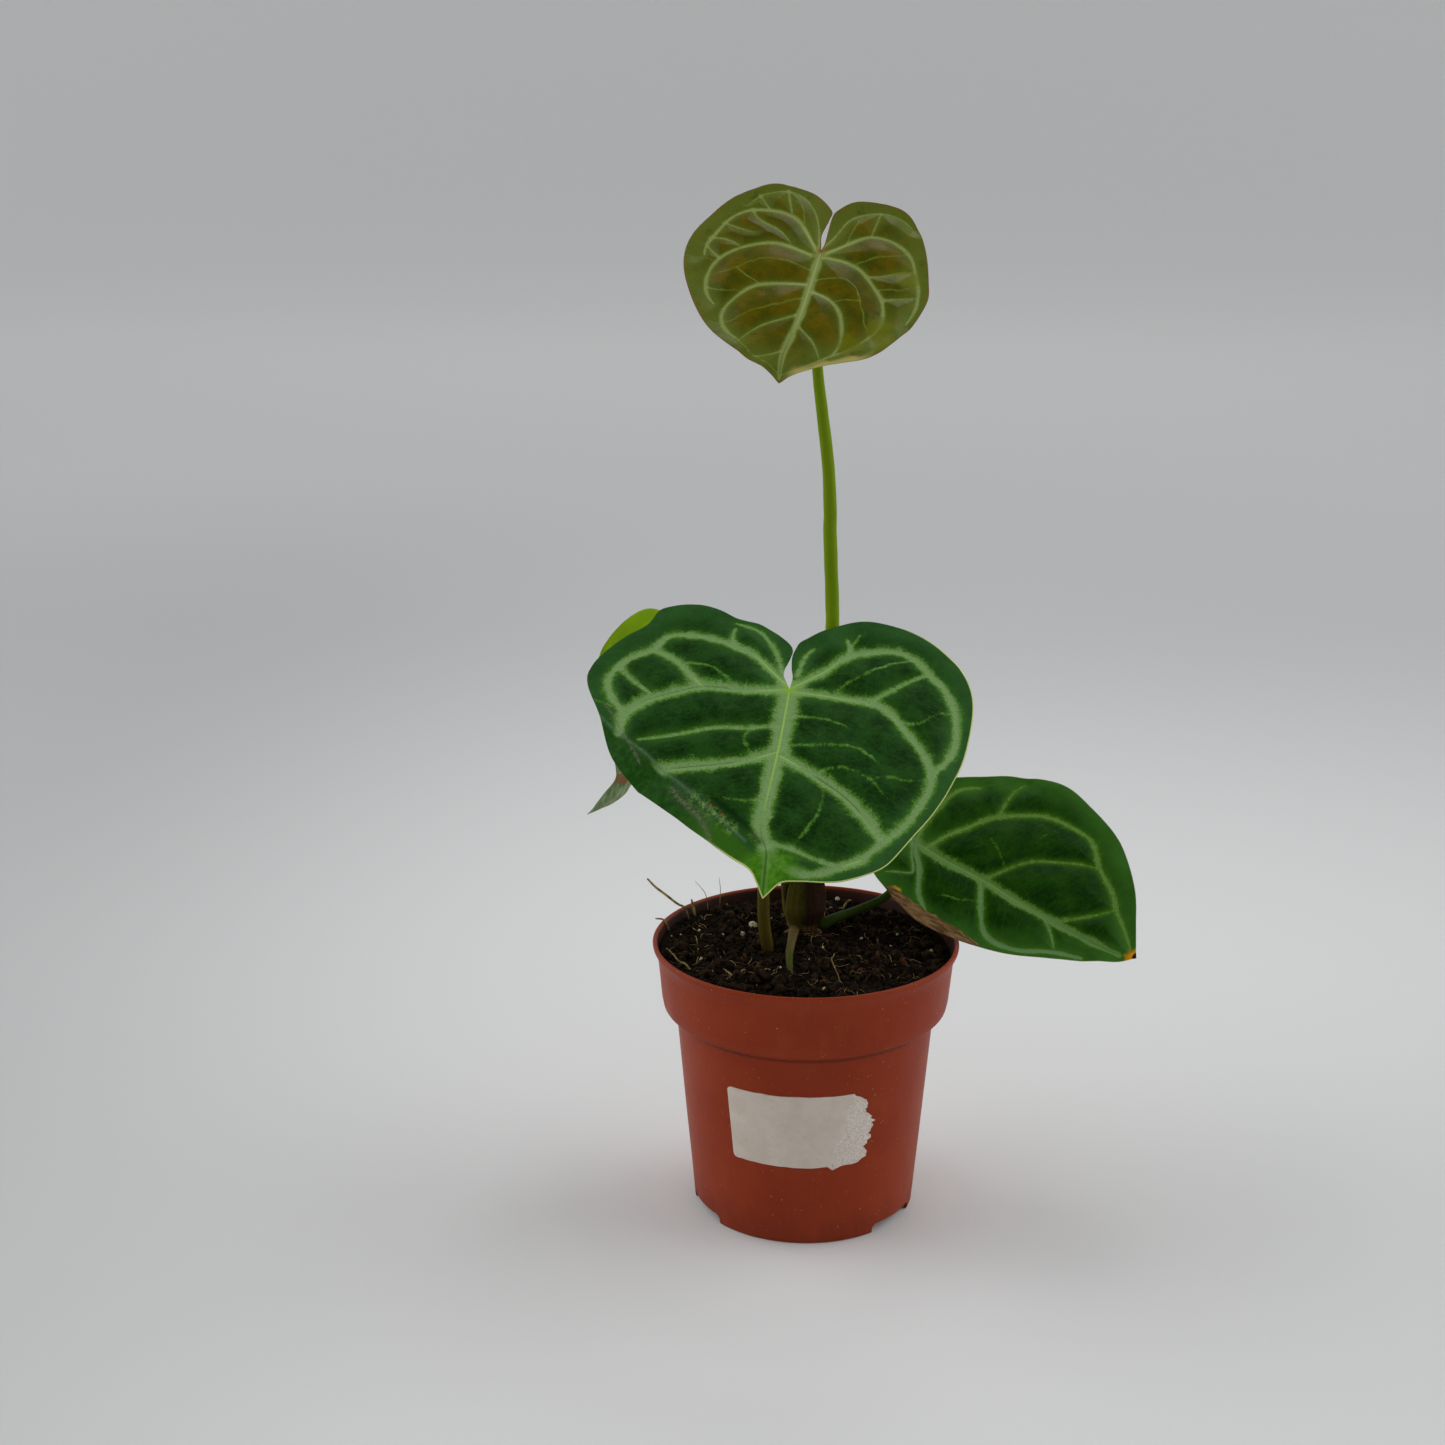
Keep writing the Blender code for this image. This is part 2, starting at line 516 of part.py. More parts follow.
def make_mix(group, stems):
    """Potting mix that fills the pot, with lumps fused in and a plain hole for each stem."""
    edge = inner_profile(GAP)
    rings = [(r, MIX_EDGE) for r in np.linspace(0, edge[0][0] - 0.1, MIX_RINGS)]
    mix = turned("potting_mix", rings + edge[1:], group, material("mix", (0.022, 0.014, 0.009), 0.9))
    applied(mix)
    for vertex in mix.data.vertices:
        if vertex.co.z > (MIX_EDGE - 0.01) * MM:
            vertex.co.z = mix_height(vertex.co.x / MM, vertex.co.y / MM) * MM
    lumps = collection("lumps")
    draw = random.Random(5)
    taken = [(*CROWN, CROWN_RADIUS + 2)] + [(x, y, LUMP_CLEAR) for x, y, _, _ in ROOT]
    taken += [(*leaf.stalk[1][:2], LUMP_CLEAR + 1) for leaf in LEAVES]
    while len(lumps.objects) < LUMPS:
        reach = LUMP_REACH * draw.random() ** 0.5
        turn = 2 * pi * draw.random()
        x, y = reach * cos(turn), reach * sin(turn)
        if min(np.hypot(x - a, y - b) - clear for a, b, clear in taken) < LUMP_CLEAR:
            continue
        taken.append((x, y, LUMP_CLEAR))
        bpy.ops.mesh.primitive_ico_sphere_add(subdivisions=1, radius=MM)
        lump = bpy.context.object
        size = draw.uniform(*LUMP_SIZE)
        lump.scale = (size * 1.3, size * draw.uniform(0.7, 1.1), size * 0.8)
        lump.rotation_euler = (draw.uniform(-0.5, 0.5), draw.uniform(-0.5, 0.5), draw.uniform(0, 6.3))
        lump.location = (x * MM, y * MM, (mix_height(x, y) + 0.25 * size) * MM)
        move_to(lump, lumps)
    boolean(mix, "UNION", lumps)
    applied(mix)
    clear_collection(lumps)
    for stem in stems:
        boolean(mix, "DIFFERENCE", stem, "MANIFOLD")
    tidied(mix)
    return mix


def make_sticker(group):
    """The bare paper label: its torn outline wrapped round the flat sides of the pot's wall."""
    corners = np.array(STICKER_OUTLINE, float) + np.array(STICKER_CENTRE)
    facet = 2 * pi / ROUND
    width = facet * wall_radius(STICKER_CENTRE[1])
    columns = width * np.arange(-6, 7)
    outline = []
    crossings = {x: [] for x in columns}
    for a, b in zip(corners, np.roll(corners, -1, axis=0)):
        outline.append(a)
        for x in sorted(columns, reverse=a[0] > b[0]):
            share = (x - a[0]) / (b[0] - a[0]) if a[0] != b[0] else -1
            if 0 < share < 1:
                crossings[x].append(len(outline))
                outline.append(a + share * (b - a))
    outline = np.array(outline)
    creases = []
    for indices in crossings.values():
        by_height = sorted(indices, key=lambda k: outline[k][1])
        creases += list(zip(by_height[::2], by_height[1::2]))

    def wrap(points):
        # The wall's flat sides meet at whole steps of the turn, so a point lies on the chord between.
        angle = points[:, 0] / wall_radius(STICKER_CENTRE[1])
        off_middle = np.mod(angle, facet) - facet / 2
        radius = wall_radius(points[:, 1]) + GAP + STICKER_THICK
        chord = radius * cos(facet / 2) / np.cos(off_middle)
        return np.column_stack([chord * np.sin(angle), -chord * np.cos(angle), points[:, 1]])

    middle = np.array([STICKER_CENTRE])
    mesh, _ = sheet_mesh("sticker", outline, middle, wrap, creases)
    sticker = new_object("sticker", mesh, group, material("paper", (0.72, 0.70, 0.66), 0.75))
    solid = sticker.modifiers.new("Thickness", "SOLIDIFY")
    solid.thickness = STICKER_THICK * MM
    solid.offset = -1
    return sticker


def crown_profile(extra):
    """The crown's outline: a ringed stump, wider where each stalk left its base."""
    return [(0, CROWN_TOP + extra), (CROWN_RADIUS * 0.55 + extra, CROWN_TOP + extra),
            (CROWN_RADIUS * 0.86 + extra, CROWN_TOP - 2.5), (CROWN_RADIUS * 0.92 + extra, CROWN_TOP - 7),
            (CROWN_RADIUS + extra, CROWN_TOP - 9.5), (CROWN_RADIUS * 0.9 + extra, CROWN_TOP - 11.5),
            (CROWN_RADIUS * 0.95 + extra, CROWN_TOP - 15), (CROWN_RADIUS * 0.6 + extra, CROWN_DEPTH - extra),
            (0, CROWN_DEPTH - extra)]


def make_crown(group, cutters, stems):
    """The short stem with papery pointed sheaths round it and a socket for each stalk."""
    crown = turned("crown", crown_profile(0), group, material("crown_skin", (0.13, 0.09, 0.025), 0.6))
    crown.location = (CROWN[0] * MM, CROWN[1] * MM, 0)
    sheaths = collection("sheaths")
    for k, (direction, length, half_width, lean) in enumerate(SHEATHS):
        sides = [(-1, 0), (-0.96, 0.3), (-0.7, 0.68), (-0.3, 0.92), (0, 1)]
        outline = np.array(sides[:-1] + [(-x, y) for x, y in sides[::-1]], float) * (half_width, length)
        inner = np.array([(x * half_width, y * length) for x in (-0.5, 0, 0.5) for y in (0.25, 0.6)
                          if abs(x) < 0.4 or y < 0.5])

        def wrap(points, direction=direction, lean=lean):
            angle = np.radians(points[:, 0] + direction)
            height = SHEATH_FOOT + points[:, 1]
            radius = CROWN_RADIUS * 0.96 + 0.5 + lean * np.minimum(points[:, 1] / 6, 1)
            radius += 0.0016 * points[:, 1] ** 2.2
            return np.column_stack([radius * np.sin(angle), -radius * np.cos(angle), height])

        mesh, _ = sheet_mesh(f"sheath_{k}", outline[::-1], inner, wrap)
        sheath = new_object(f"sheath_{k}", mesh, sheaths)
        sheath.location = crown.location
        solid = sheath.modifiers.new("Thickness", "SOLIDIFY")
        solid.thickness = SHEATH_THICK * MM
        solid.offset = -1
    boolean(crown, "UNION", sheaths)
    for stem in stems:
        boolean(crown, "DIFFERENCE", stem, "MANIFOLD")
    tidied(crown)
    clear_collection(sheaths)
    crown.data.set_sharp_from_angle(angle=radians(45))
    hole = cutter(turned("crown_cutter", crown_profile(GAP), cutters))
    hole.location = crown.location
    return crown, hole


def main():
    for obj in list(bpy.data.objects):
        bpy.data.objects.remove(obj)
    plant = collection("potted_anthurium")
    cutters = collection("cutters")
    make_pot(plant, cutters)
    make_sticker(plant)
    stalk_colours = {"top": (0.18, 0.42, 0.02), "front": (0.16, 0.11, 0.025),
                     "right": (0.13, 0.24, 0.03), "back": (0.17, 0.30, 0.03)}
    holes = {}
    for leaf in LEAVES:
        make_blade(leaf, plant)
        line = stalk_line(leaf)
        skin = material("stalk_" + leaf.name, stalk_colours[leaf.name], 0.45)
        tube("stalk_" + leaf.name, line, 0.0, plant, skin)
        foot = line[:SOCKET_POINTS]
        holes[leaf.name] = cutter(tube(f"stalk_{leaf.name}_cutter", foot, GAP, cutters, extend=GAP))
    tube("aerial_root", ROOT, 0.0, plant, material("root_skin", (0.33, 0.30, 0.15), 0.6))
    root_hole = cutter(tube("root_cutter", ROOT, GAP, cutters, extend=GAP))
    _, crown_hole = make_crown(plant, cutters, [holes["top"], holes["right"], holes["back"], root_hole])
    make_mix(plant, [crown_hole, holes["front"], holes["right"], root_hole])


main()
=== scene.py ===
# %% [markdown]
# A potted silver-veined anthurium
#
# The plant stands in a 12 cm nursery pot: four heart-shaped leaves on long stalks, a short crown
# with papery sheaths, one thick root that lies on the mix, and a bare paper sticker on the pot.
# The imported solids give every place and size. They could be shown as they are, but a faceted blade
# has no feathered veins, so each solid is replaced here by a finer surface in the same place.

import itertools
from math import pi, radians

import bpy
import numpy as np
from mathutils import Matrix, Vector


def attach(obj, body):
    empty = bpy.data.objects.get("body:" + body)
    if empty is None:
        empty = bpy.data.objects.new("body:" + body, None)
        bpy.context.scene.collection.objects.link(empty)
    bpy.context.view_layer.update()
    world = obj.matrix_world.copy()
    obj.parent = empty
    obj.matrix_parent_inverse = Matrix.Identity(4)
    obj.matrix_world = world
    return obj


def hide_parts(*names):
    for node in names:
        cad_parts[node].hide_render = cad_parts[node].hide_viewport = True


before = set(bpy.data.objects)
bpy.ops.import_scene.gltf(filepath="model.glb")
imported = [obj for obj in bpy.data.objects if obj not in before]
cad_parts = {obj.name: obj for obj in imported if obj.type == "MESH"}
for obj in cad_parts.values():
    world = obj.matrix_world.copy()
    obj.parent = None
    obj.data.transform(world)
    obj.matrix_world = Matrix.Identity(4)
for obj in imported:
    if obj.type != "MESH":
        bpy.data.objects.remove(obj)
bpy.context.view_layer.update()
MM = 0.001
print("solids:", len(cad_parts))

# %% [markdown]
# Camera, floor and light
#
# A plant portrait like this is taken on a sweep of pale board with a soft box at either side. A
# curved backdrop would stand in the way of a view from behind, so one wide floor is used, whose
# far rings rise a little, so that it fills the main view to its top edge. The sky is dim overhead:
# glossy leaves that face up mirror it, and a bright one would veil their dark green. A small lamp
# there makes their glints.

# %% Camera
IMAGE_SIDE = 1445           # pixels
FOCAL_PIXELS = 2400.0
SENSOR = 36.0
CAMERA_AT = (0.0, -0.880, 0.4615)
LOOK_DOWN = 16.653          # degrees below the horizon
LOOK_LEFT = 2.129

camera_data = bpy.data.cameras.new("portrait")
camera_data.sensor_width = SENSOR
camera_data.lens = FOCAL_PIXELS * SENSOR / IMAGE_SIDE
camera_data.clip_end = 3000.0
camera = bpy.data.objects.new("portrait", camera_data)
camera.location = CAMERA_AT
camera.rotation_euler = (radians(90 - LOOK_DOWN), 0, radians(LOOK_LEFT))
bpy.context.scene.collection.objects.link(camera)
bpy.context.scene.camera = camera
bpy.context.scene.view_settings.view_transform = "Standard"
print("camera lens:", round(camera_data.lens, 2), "mm")

# %% [markdown]
# Shader sums
#
# Every finish below is a sum of noises, masks and colours. Wiring nodes one by one hides that sum,
# so a socket is wrapped in a small class whose operators add the Math nodes. Anything else, such as
# a noise or a colour mix, comes from the one method `node`.


# %% Wire and Graph
class Wire:
    """A socket in an expression: each operator adds one Math node and gives its result."""

    def __init__(self, graph, socket):
        self.graph = graph
        self.socket = socket

    def math(self, operation, first, second):
        """One Math node."""
        return self.graph.node("ShaderNodeMath", {"operation": operation}, {0: first, 1: second})

    def __add__(self, other):
        return self.math("ADD", self, other)

    def __sub__(self, other):
        return self.math("SUBTRACT", self, other)

    def __rsub__(self, other):
        return self.math("SUBTRACT", other, self)

    def __mul__(self, other):
        return self.math("MULTIPLY", self, other)

    def __pow__(self, other):
        return self.math("POWER", self, other)

    __radd__ = __add__
    __rmul__ = __mul__

    def least(self, other):
        """The smaller of two values."""
        return self.math("MINIMUM", self, other)

    def rise(self, low, high):
        """Smooth step: 0 at low, 1 at high, 3t² - 2t³ between. Low may be the larger one."""
        return self.graph.node("ShaderNodeMapRange", {"interpolation_type": "SMOOTHSTEP"},
                               {"Value": self, "From Min": low, "From Max": high})


class Graph:
    """A node tree that nodes are added to."""

    def __init__(self, tree):
        self.tree = tree

    def node(self, kind, settings=None, inputs=None, output=0):
        """Adds a node: its type, its settings first, then the values or links of its sockets."""
        made = self.tree.nodes.new(kind)
        for name, value in (settings or {}).items():
            setattr(made, name, value)
        for key, value in (inputs or {}).items():
            if isinstance(value, Wire):
                self.tree.links.new(value.socket, made.inputs[key])
            else:
                made.inputs[key].default_value = value
        return Wire(self, made.outputs[output])

    def mix(self, share, first, second):
        """Colour between two colours, by a share from 0 to 1."""
        return self.node("ShaderNodeMix", {"data_type": "RGBA"}, {0: share, 6: first, 7: second}, output=2)

    def coats(self, colour, *coats):
        """Coats laid over a colour one by one. Each is its share from 0 to 1 and its own colour."""
        for share, coat in coats:
            colour = self.mix(share, colour, coat)
        return colour

    def vector(self, x=0.0, y=0.0, z=0.0):
        """A vector from three numbers."""
        return self.node("ShaderNodeCombineXYZ", {}, {0: x, 1: y, 2: z})

    def parts(self, vector):
        """The three numbers of a vector."""
        first = self.node("ShaderNodeSeparateXYZ", {}, {0: vector})
        return [Wire(self, socket) for socket in first.socket.node.outputs]


def tint(red, green, blue):
    """A colour read off as screen values 0 to 255, as the linear light values a shader needs."""
    screen = np.array([red, green, blue]) / 255
    linear = np.where(screen <= 0.04045, screen / 12.92, ((screen + 0.055) / 1.055) ** 2.4)
    return (*(float(v) for v in linear), 1.0)


print("a mid grey on screen is light of", round(tint(128, 128, 128)[0], 3))


# %% Finish
class Finish(Graph):
    """A material with one Principled shader. Constant values are set on the shader's own sockets."""

    def __init__(self, name, **constants):
        self.material = bpy.data.materials.new(name)
        self.material.use_nodes = True
        super().__init__(self.material.node_tree)
        self.shader = self.tree.nodes["Principled BSDF"]
        for socket, value in constants.items():
            self.shader.inputs[socket.replace("_", " ")].default_value = value

    def feed(self, socket, wire):
        """Links a value or colour to one of the shader's sockets."""
        self.tree.links.new(wire.socket, self.shader.inputs[socket])

    def place(self):
        """Object coordinates in millimetres."""
        metres = self.node("ShaderNodeTexCoord", output="Object")
        return self.node("ShaderNodeVectorMath", {"operation": "SCALE"}, {0: metres, "Scale": 1 / MM})

    def field(self, name, output="Fac"):
        """A value stored on the piece's own points."""
        return self.node("ShaderNodeAttribute", {"attribute_name": name}, output=output)

    def noise(self, at, size, detail=3.0, rough=0.55, stretch=None):
        """Cloudy noise from 0 to 1 whose blobs are about `size` across."""
        if stretch:
            at = self.node("ShaderNodeVectorMath", {"operation": "MULTIPLY"}, {0: at, 1: stretch})
        return self.node("ShaderNodeTexNoise", {"noise_dimensions": "3D"},
                         {"Vector": at, "Scale": 1 / size, "Detail": detail, "Roughness": rough})

    def cells(self, at, size, feature="F1"):
        """Voronoi cells about `size` across: distance to the nearest middle, or to the edge."""
        return self.node("ShaderNodeTexVoronoi", {"feature": feature}, {"Vector": at, "Scale": 1 / size},
                         output="Distance")

    def bump(self, height, depth):
        """Feeds a height from 0 to 1 to the normal, `depth` millimetres deep."""
        bumped = self.node("ShaderNodeBump", {}, {"Height": height, "Strength": 1.0,
                                                  "Distance": depth * MM})
        self.feed("Normal", bumped)


# %% Grids of triangles
def stitched(index, wrap=False):
    """Two triangles for each cell of a grid of point numbers, whose columns may close into a ring."""
    if wrap:
        index = np.hstack([index, index[:, :1]])
    a, b, c, d = index[:-1, :-1], index[1:, :-1], index[1:, 1:], index[:-1, 1:]
    return np.concatenate([np.stack(corners, -1).reshape(-1, 3) for corners in ((a, b, c), (a, c, d))])


def weave(rows, columns, wrap=False, first=0):
    """The triangles of a grid whose points are numbered row by row from `first`."""
    return stitched(first + np.arange(rows * columns).reshape(rows, columns), wrap)


print("a grid of 3 by 3 points has", len(weave(3, 3)), "triangles")

# %% Floor, sky and lamps
FLOOR_RINGS = [(0.5, 0.0), (2.0, 0.0), (10.0, 0.0), (60.0, 0.3), (300.0, 6.0), (1000.0, 40.0)]
FLOOR_STEPS = 96


def board_finish():
    """Matt board whose tones are painted light and shade: a little darker in its middle distance and at the
    left, and brightest far off.
    """
    board = Finish("floor_board", Roughness=0.6, Specular_IOR_Level=0.1)
    x, y, _ = board.parts(board.node("ShaderNodeTexCoord", output="Object"))
    near = y.rise(1.6, 0.4)
    shadow = tint(160, 160, 161)
    # Painted light and shade: the tones by distance over the board's own pale grey, and the painted shadow
    # at the near left and right.
    board.feed("Base Color", board.coats(
        tint(226, 226, 226),
        (y.rise(0.20, 0.95), tint(198, 198, 199)),
        (y.rise(0.9, 2.7), tint(243, 243, 243)),
        ((0.0 - x).rise(0.05, 0.5) * near * 0.6, shadow),
        (x.rise(0.10, 0.6) * near * 0.25, shadow)))
    return board


def make_floor():
    """A board far larger than the view, as rings of (radius, height), with one point in the middle."""
    turns = np.linspace(0, 2 * pi, FLOOR_STEPS, endpoint=False)
    rings = [np.stack([r * np.cos(turns), r * np.sin(turns), np.full(FLOOR_STEPS, z)], axis=1)
             for r, z in FLOOR_RINGS]
    first = [[0, 1 + k, 1 + (k + 1) % FLOOR_STEPS] for k in range(FLOOR_STEPS)]
    bands = weave(len(rings), FLOOR_STEPS, wrap=True, first=1).tolist()
    mesh = bpy.data.meshes.new("floor")
    mesh.from_pydata([(0.0, 0.0, 0.0)] + np.concatenate(rings).tolist(), [], first + bands)
    mesh.materials.append(board_finish().material)
    floor = bpy.data.objects.new("floor", mesh)
    bpy.context.scene.collection.objects.link(floor)


def area_lamp(name, side, power, at, towards=(0.0, 0.0, 0.2)):
    """A square soft lamp at a place, turned towards a point."""
    lamp = bpy.data.lights.new(name, "AREA")
    lamp.size = side
    lamp.energy = power
    obj = bpy.data.objects.new(name, lamp)
    obj.location = at
    obj.rotation_euler = (Vector(at) - Vector(towards)).to_track_quat("Z", "Y").to_euler()
    bpy.context.scene.collection.objects.link(obj)


def make_sky():
    """Light from all round, as a sum on the direction looked in: brighter aside and behind, and
    dimmed towards the zenith."""
    world = bpy.data.worlds.new("studio")
    bpy.context.scene.world = world
    world.use_nodes = True
    sky = Graph(world.node_tree)
    x, y, z = sky.parts(sky.node("ShaderNodeTexCoord", output="Generated"))
    strength = (0.45 + 0.80 * x * x + 0.107 * y) * (1.0 - 0.8 * z.rise(0.55, 0.90))
    ground = world.node_tree.nodes["Background"]
    ground.inputs["Color"].default_value = tint(252, 254, 255)
    world.node_tree.links.new(strength.socket, ground.inputs["Strength"])


make_floor()
make_sky()
area_lamp("left_box", 1.8, 12.0, (-1.4, 0.2, 1.15))
area_lamp("right_box", 1.8, 12.0, (1.4, 0.3, 1.2))
area_lamp("glint", 0.6, 3.0, (0.2, 0.9, 1.9))
print("floor, sky and 3 lamps")

# %% [markdown]
# Surfaces from arrays
#
# Blender's modelling tools work a face at a time. A leaf with its veins is easier to say as a
# function: a grid of points in, a grid of heights out. The helpers here draw smooth curves through
# a few chosen points, give repeatable roughness, join grids into closed skins and hand the arrays
# to a mesh. A slab has its rarely seen side at half the fineness, to save triangles.

# %% Curves and roughness
CURVE_FINENESS = 24


def curve(points, count, start=0, end=None):
    """Catmull-Rom curve: between b and c, beside a and d, it is
    0.5 (2b + (c - a) t + (2a - 5b + 4c - d) t² + (3b - a - 3c + d) t³),
    read at `count` even steps of its length from one numbered point to another."""
    p = np.array(points, float)
    last = len(p) - 1 if end is None else end
    p = np.vstack([2 * p[0] - p[1], p, 2 * p[-1] - p[-2]])
    t = np.linspace(0, 1, CURVE_FINENESS, endpoint=False)[:, None]
    spans = [0.5 * (2 * b + (c - a) * t + (2 * a - 5 * b + 4 * c - d) * t ** 2
                    + (3 * b - a - 3 * c + d) * t ** 3)
             for a, b, c, d in zip(p[:-3], p[1:-2], p[2:-1], p[3:])]
    dense = np.vstack(spans + [p[-2:-1]])
    run = np.concatenate([[0], np.cumsum(np.linalg.norm(np.diff(dense, axis=0), axis=1))])
    at = np.linspace(run[start * CURVE_FINENESS], run[last * CURVE_FINENESS], count)
    return np.stack([np.interp(at, run, dense[:, k]) for k in range(p.shape[1])], axis=1)


def rough(points, size, seed=0):
    """Value noise from -1 to 1: a scrambled number at each corner of a lattice of that size,
    blended between the corners by 3t² - 2t³ along each axis."""
    p = np.asarray(points, float) / size
    corner = np.floor(p).astype(np.int64)
    t = p - corner
    t = t * t * (3 - 2 * t)
    primes = np.array([73856093, 19349663, 83492791])[:p.shape[-1]]
    total = np.zeros(p.shape[:-1])
    for step in itertools.product((0, 1), repeat=p.shape[-1]):
        scrambled = ((corner + step) * primes).sum(axis=-1) + seed * 15485863
        for shift in (15, 12, 17):
            scrambled = ((scrambled ^ (scrambled >> shift)) * 2246822519) & 0xFFFFFFFF
        weight = np.prod(np.where(step, t, 1 - t), axis=-1)
        total += weight * (scrambled / 0x7FFFFFFF - 1)
    return total


def layers(points, size, count, seed=0, keep=0.5):
    """Several noises, each half the size of the last and `keep` times its strength."""
    return sum(keep ** k * rough(points, size / 2 ** k, seed + 7 * k) for k in range(count))


def smooth(value, low, high):
    """Smooth step: 0 at low, 1 at high, 3t² - 2t³ between."""
    t = np.clip((value - low) / (high - low), 0, 1)
    return t * t * (3 - 2 * t)


# %% Skins
def border(index):
    """The numbers round a grid's border: top row, right side, bottom row back, left side up."""
    return np.concatenate([index[0], index[1:, -1], index[-1, -2::-1], index[-2:0:-1, 0]])


def slab(upper, lower):
    """Closes two grids into one body. The lower one has every second row and column. Along the rim
    each two fine edges meet one coarse edge in three triangles."""
    rows, columns = upper.shape[:2]
    low_rows, low_columns = lower.shape[:2]
    fine = border(np.arange(rows * columns).reshape(rows, columns))
    coarse = border(rows * columns + np.arange(low_rows * low_columns).reshape(low_rows, low_columns))
    f0, f1, f2 = fine[::2], fine[1::2], np.roll(fine[::2], -1)
    c0, c1 = coarse, np.roll(coarse, -1)
    rim = np.concatenate([np.stack(t, -1) for t in ((f0, f1, c0), (f1, f2, c1), (f1, c1, c0))])
    below = weave(low_rows, low_columns, first=rows * columns)[:, ::-1]
    points = np.concatenate([upper.reshape(-1, 3), lower.reshape(-1, 3)])
    return points, np.concatenate([weave(rows, columns), below, rim])


def lathe(profile, steps):
    """Turns a profile of (radius, height): each point becomes (r cos a, r sin a, z)."""
    turn = np.linspace(0, 2 * pi, steps, endpoint=False)
    r, z = np.array(profile, float).T
    grid = np.stack([np.outer(r, np.cos(turn)), np.outer(r, np.sin(turn)),
                     np.repeat(z[:, None], steps, axis=1)], axis=-1)
    return grid, weave(*grid.shape[:2], wrap=True)


def tube(line, sides, across=(1.0, 0.3, 0.0), swell=None):
    """Skin about a path of (x, y, z, radius): centre + radius (cos a side + sin a lift), where side
    and lift are square to the path. Rings that shrink as a quarter circle round each end."""
    line = np.asarray(line, float)
    quarter = np.radians([90, 65, 40, 18])[:, None]
    ends = []
    for end, beside in ((line[0], line[1]), (line[-1], line[-2])):
        out = end[:3] - beside[:3]
        out /= np.linalg.norm(out)
        ends.append(np.hstack([end[:3] + out * end[3] * np.sin(quarter), end[3] * np.cos(quarter)]))
    line = np.vstack([ends[0], line, ends[1][::-1]])
    centre, radius = line[:, :3], line[:, 3:]
    ahead = np.gradient(centre, axis=0)
    ahead /= np.linalg.norm(ahead, axis=1, keepdims=True)
    side = np.cross(ahead, np.array(across))
    side /= np.linalg.norm(side, axis=1, keepdims=True)
    lift = np.cross(ahead, side)
    turn = np.linspace(0, 2 * pi, sides, endpoint=False)
    ring = np.cos(turn)[None, :, None] * side[:, None] + np.sin(turn)[None, :, None] * lift[:, None]
    grid = centre[:, None] + radius[:, None] * ring
    if swell is not None:
        grid = grid + radius[:, None] * ring * swell(grid)[..., None]
    return grid, weave(*grid.shape[:2], wrap=True)


# %% Build
CM3 = 1e-6
pieces = []


def joined(parts):
    """Several (points, triangles) as one pair of arrays."""
    counts = np.cumsum([0] + [len(p.reshape(-1, 3)) for p, _ in parts])
    return (np.concatenate([p.reshape(-1, 3) for p, _ in parts]),
            np.concatenate([t + n for (_, t), n in zip(parts, counts)]))


def build(name, points, triangles, finish, slot, replaces=(), fields=None):
    """Makes a closed piece from points in millimetres. Points that coincide are merged, triangles
    that this closes up are dropped, and the whole is turned outwards by the sign of its volume."""
    points = points.reshape(-1, 3)
    _, chosen, merged = np.unique(np.round(points, 4), axis=0, return_index=True, return_inverse=True)
    merged = merged.reshape(-1)
    triangles = merged[triangles]
    a, b, c = triangles.T
    triangles = triangles[(a != b) & (b != c) & (c != a)]
    points = points[chosen] * MM
    corners = points[triangles]
    volume = np.einsum("ij,ij->i", corners[:, 0], np.cross(corners[:, 1], corners[:, 2])).sum() / 6
    if volume < 0:
        triangles = triangles[:, ::-1]
    edges = np.sort(np.concatenate([triangles[:, pair] for pair in ((0, 1), (1, 2), (2, 0))]), axis=1)
    _, uses = np.unique(edges[:, 0] * len(points) + edges[:, 1], return_counts=True)
    open_edges = (uses != 2).sum()
    mesh = bpy.data.meshes.new(name)
    mesh.vertices.add(len(points))
    mesh.vertices.foreach_set("co", points.astype(np.float32).ravel())
    mesh.loops.add(triangles.size)
    mesh.loops.foreach_set("vertex_index", triangles.astype(np.int32).ravel())
    mesh.polygons.add(len(triangles))
    mesh.polygons.foreach_set("loop_start", np.arange(0, triangles.size, 3, dtype=np.int32))
    mesh.update(calc_edges=True)
    mesh.shade_smooth()
    for key, values in (fields or {}).items():
        kind, slot_name = ("FLOAT", "value") if values.ndim == 1 else ("FLOAT_VECTOR", "vector")
        data = mesh.attributes.new(key, kind, "POINT").data
        data.foreach_set(slot_name, values[chosen].astype(np.float32).ravel())
    mesh.materials.append(finish.material)
    obj = bpy.data.objects.new(name, mesh)
    bpy.context.scene.collection.objects.link(obj)
    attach(obj, "root")
    if replaces:
        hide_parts(*replaces)
    pieces.append(obj)
    print(f"{name}: {len(triangles)} triangles, {abs(volume) / CM3:.2f} cm3, open edges {open_edges}")
    return obj


# %% [markdown]
# Leaf blades
#
# Each blade is a heart with a slit down to its stalk. It could be cut from a plane, but then the
# triangles would cross the veins and the margin anyhow. Here the blade is one grid: a row starts on
# the midrib line, or at the stalk, and ends on the margin, and the rows fan from the slit round the
# lobe to the tip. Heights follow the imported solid: arched across, bent past its fold lines and
# quilted between the veins. The distances to veins and margin are kept on the points, and the
# finish reads them.

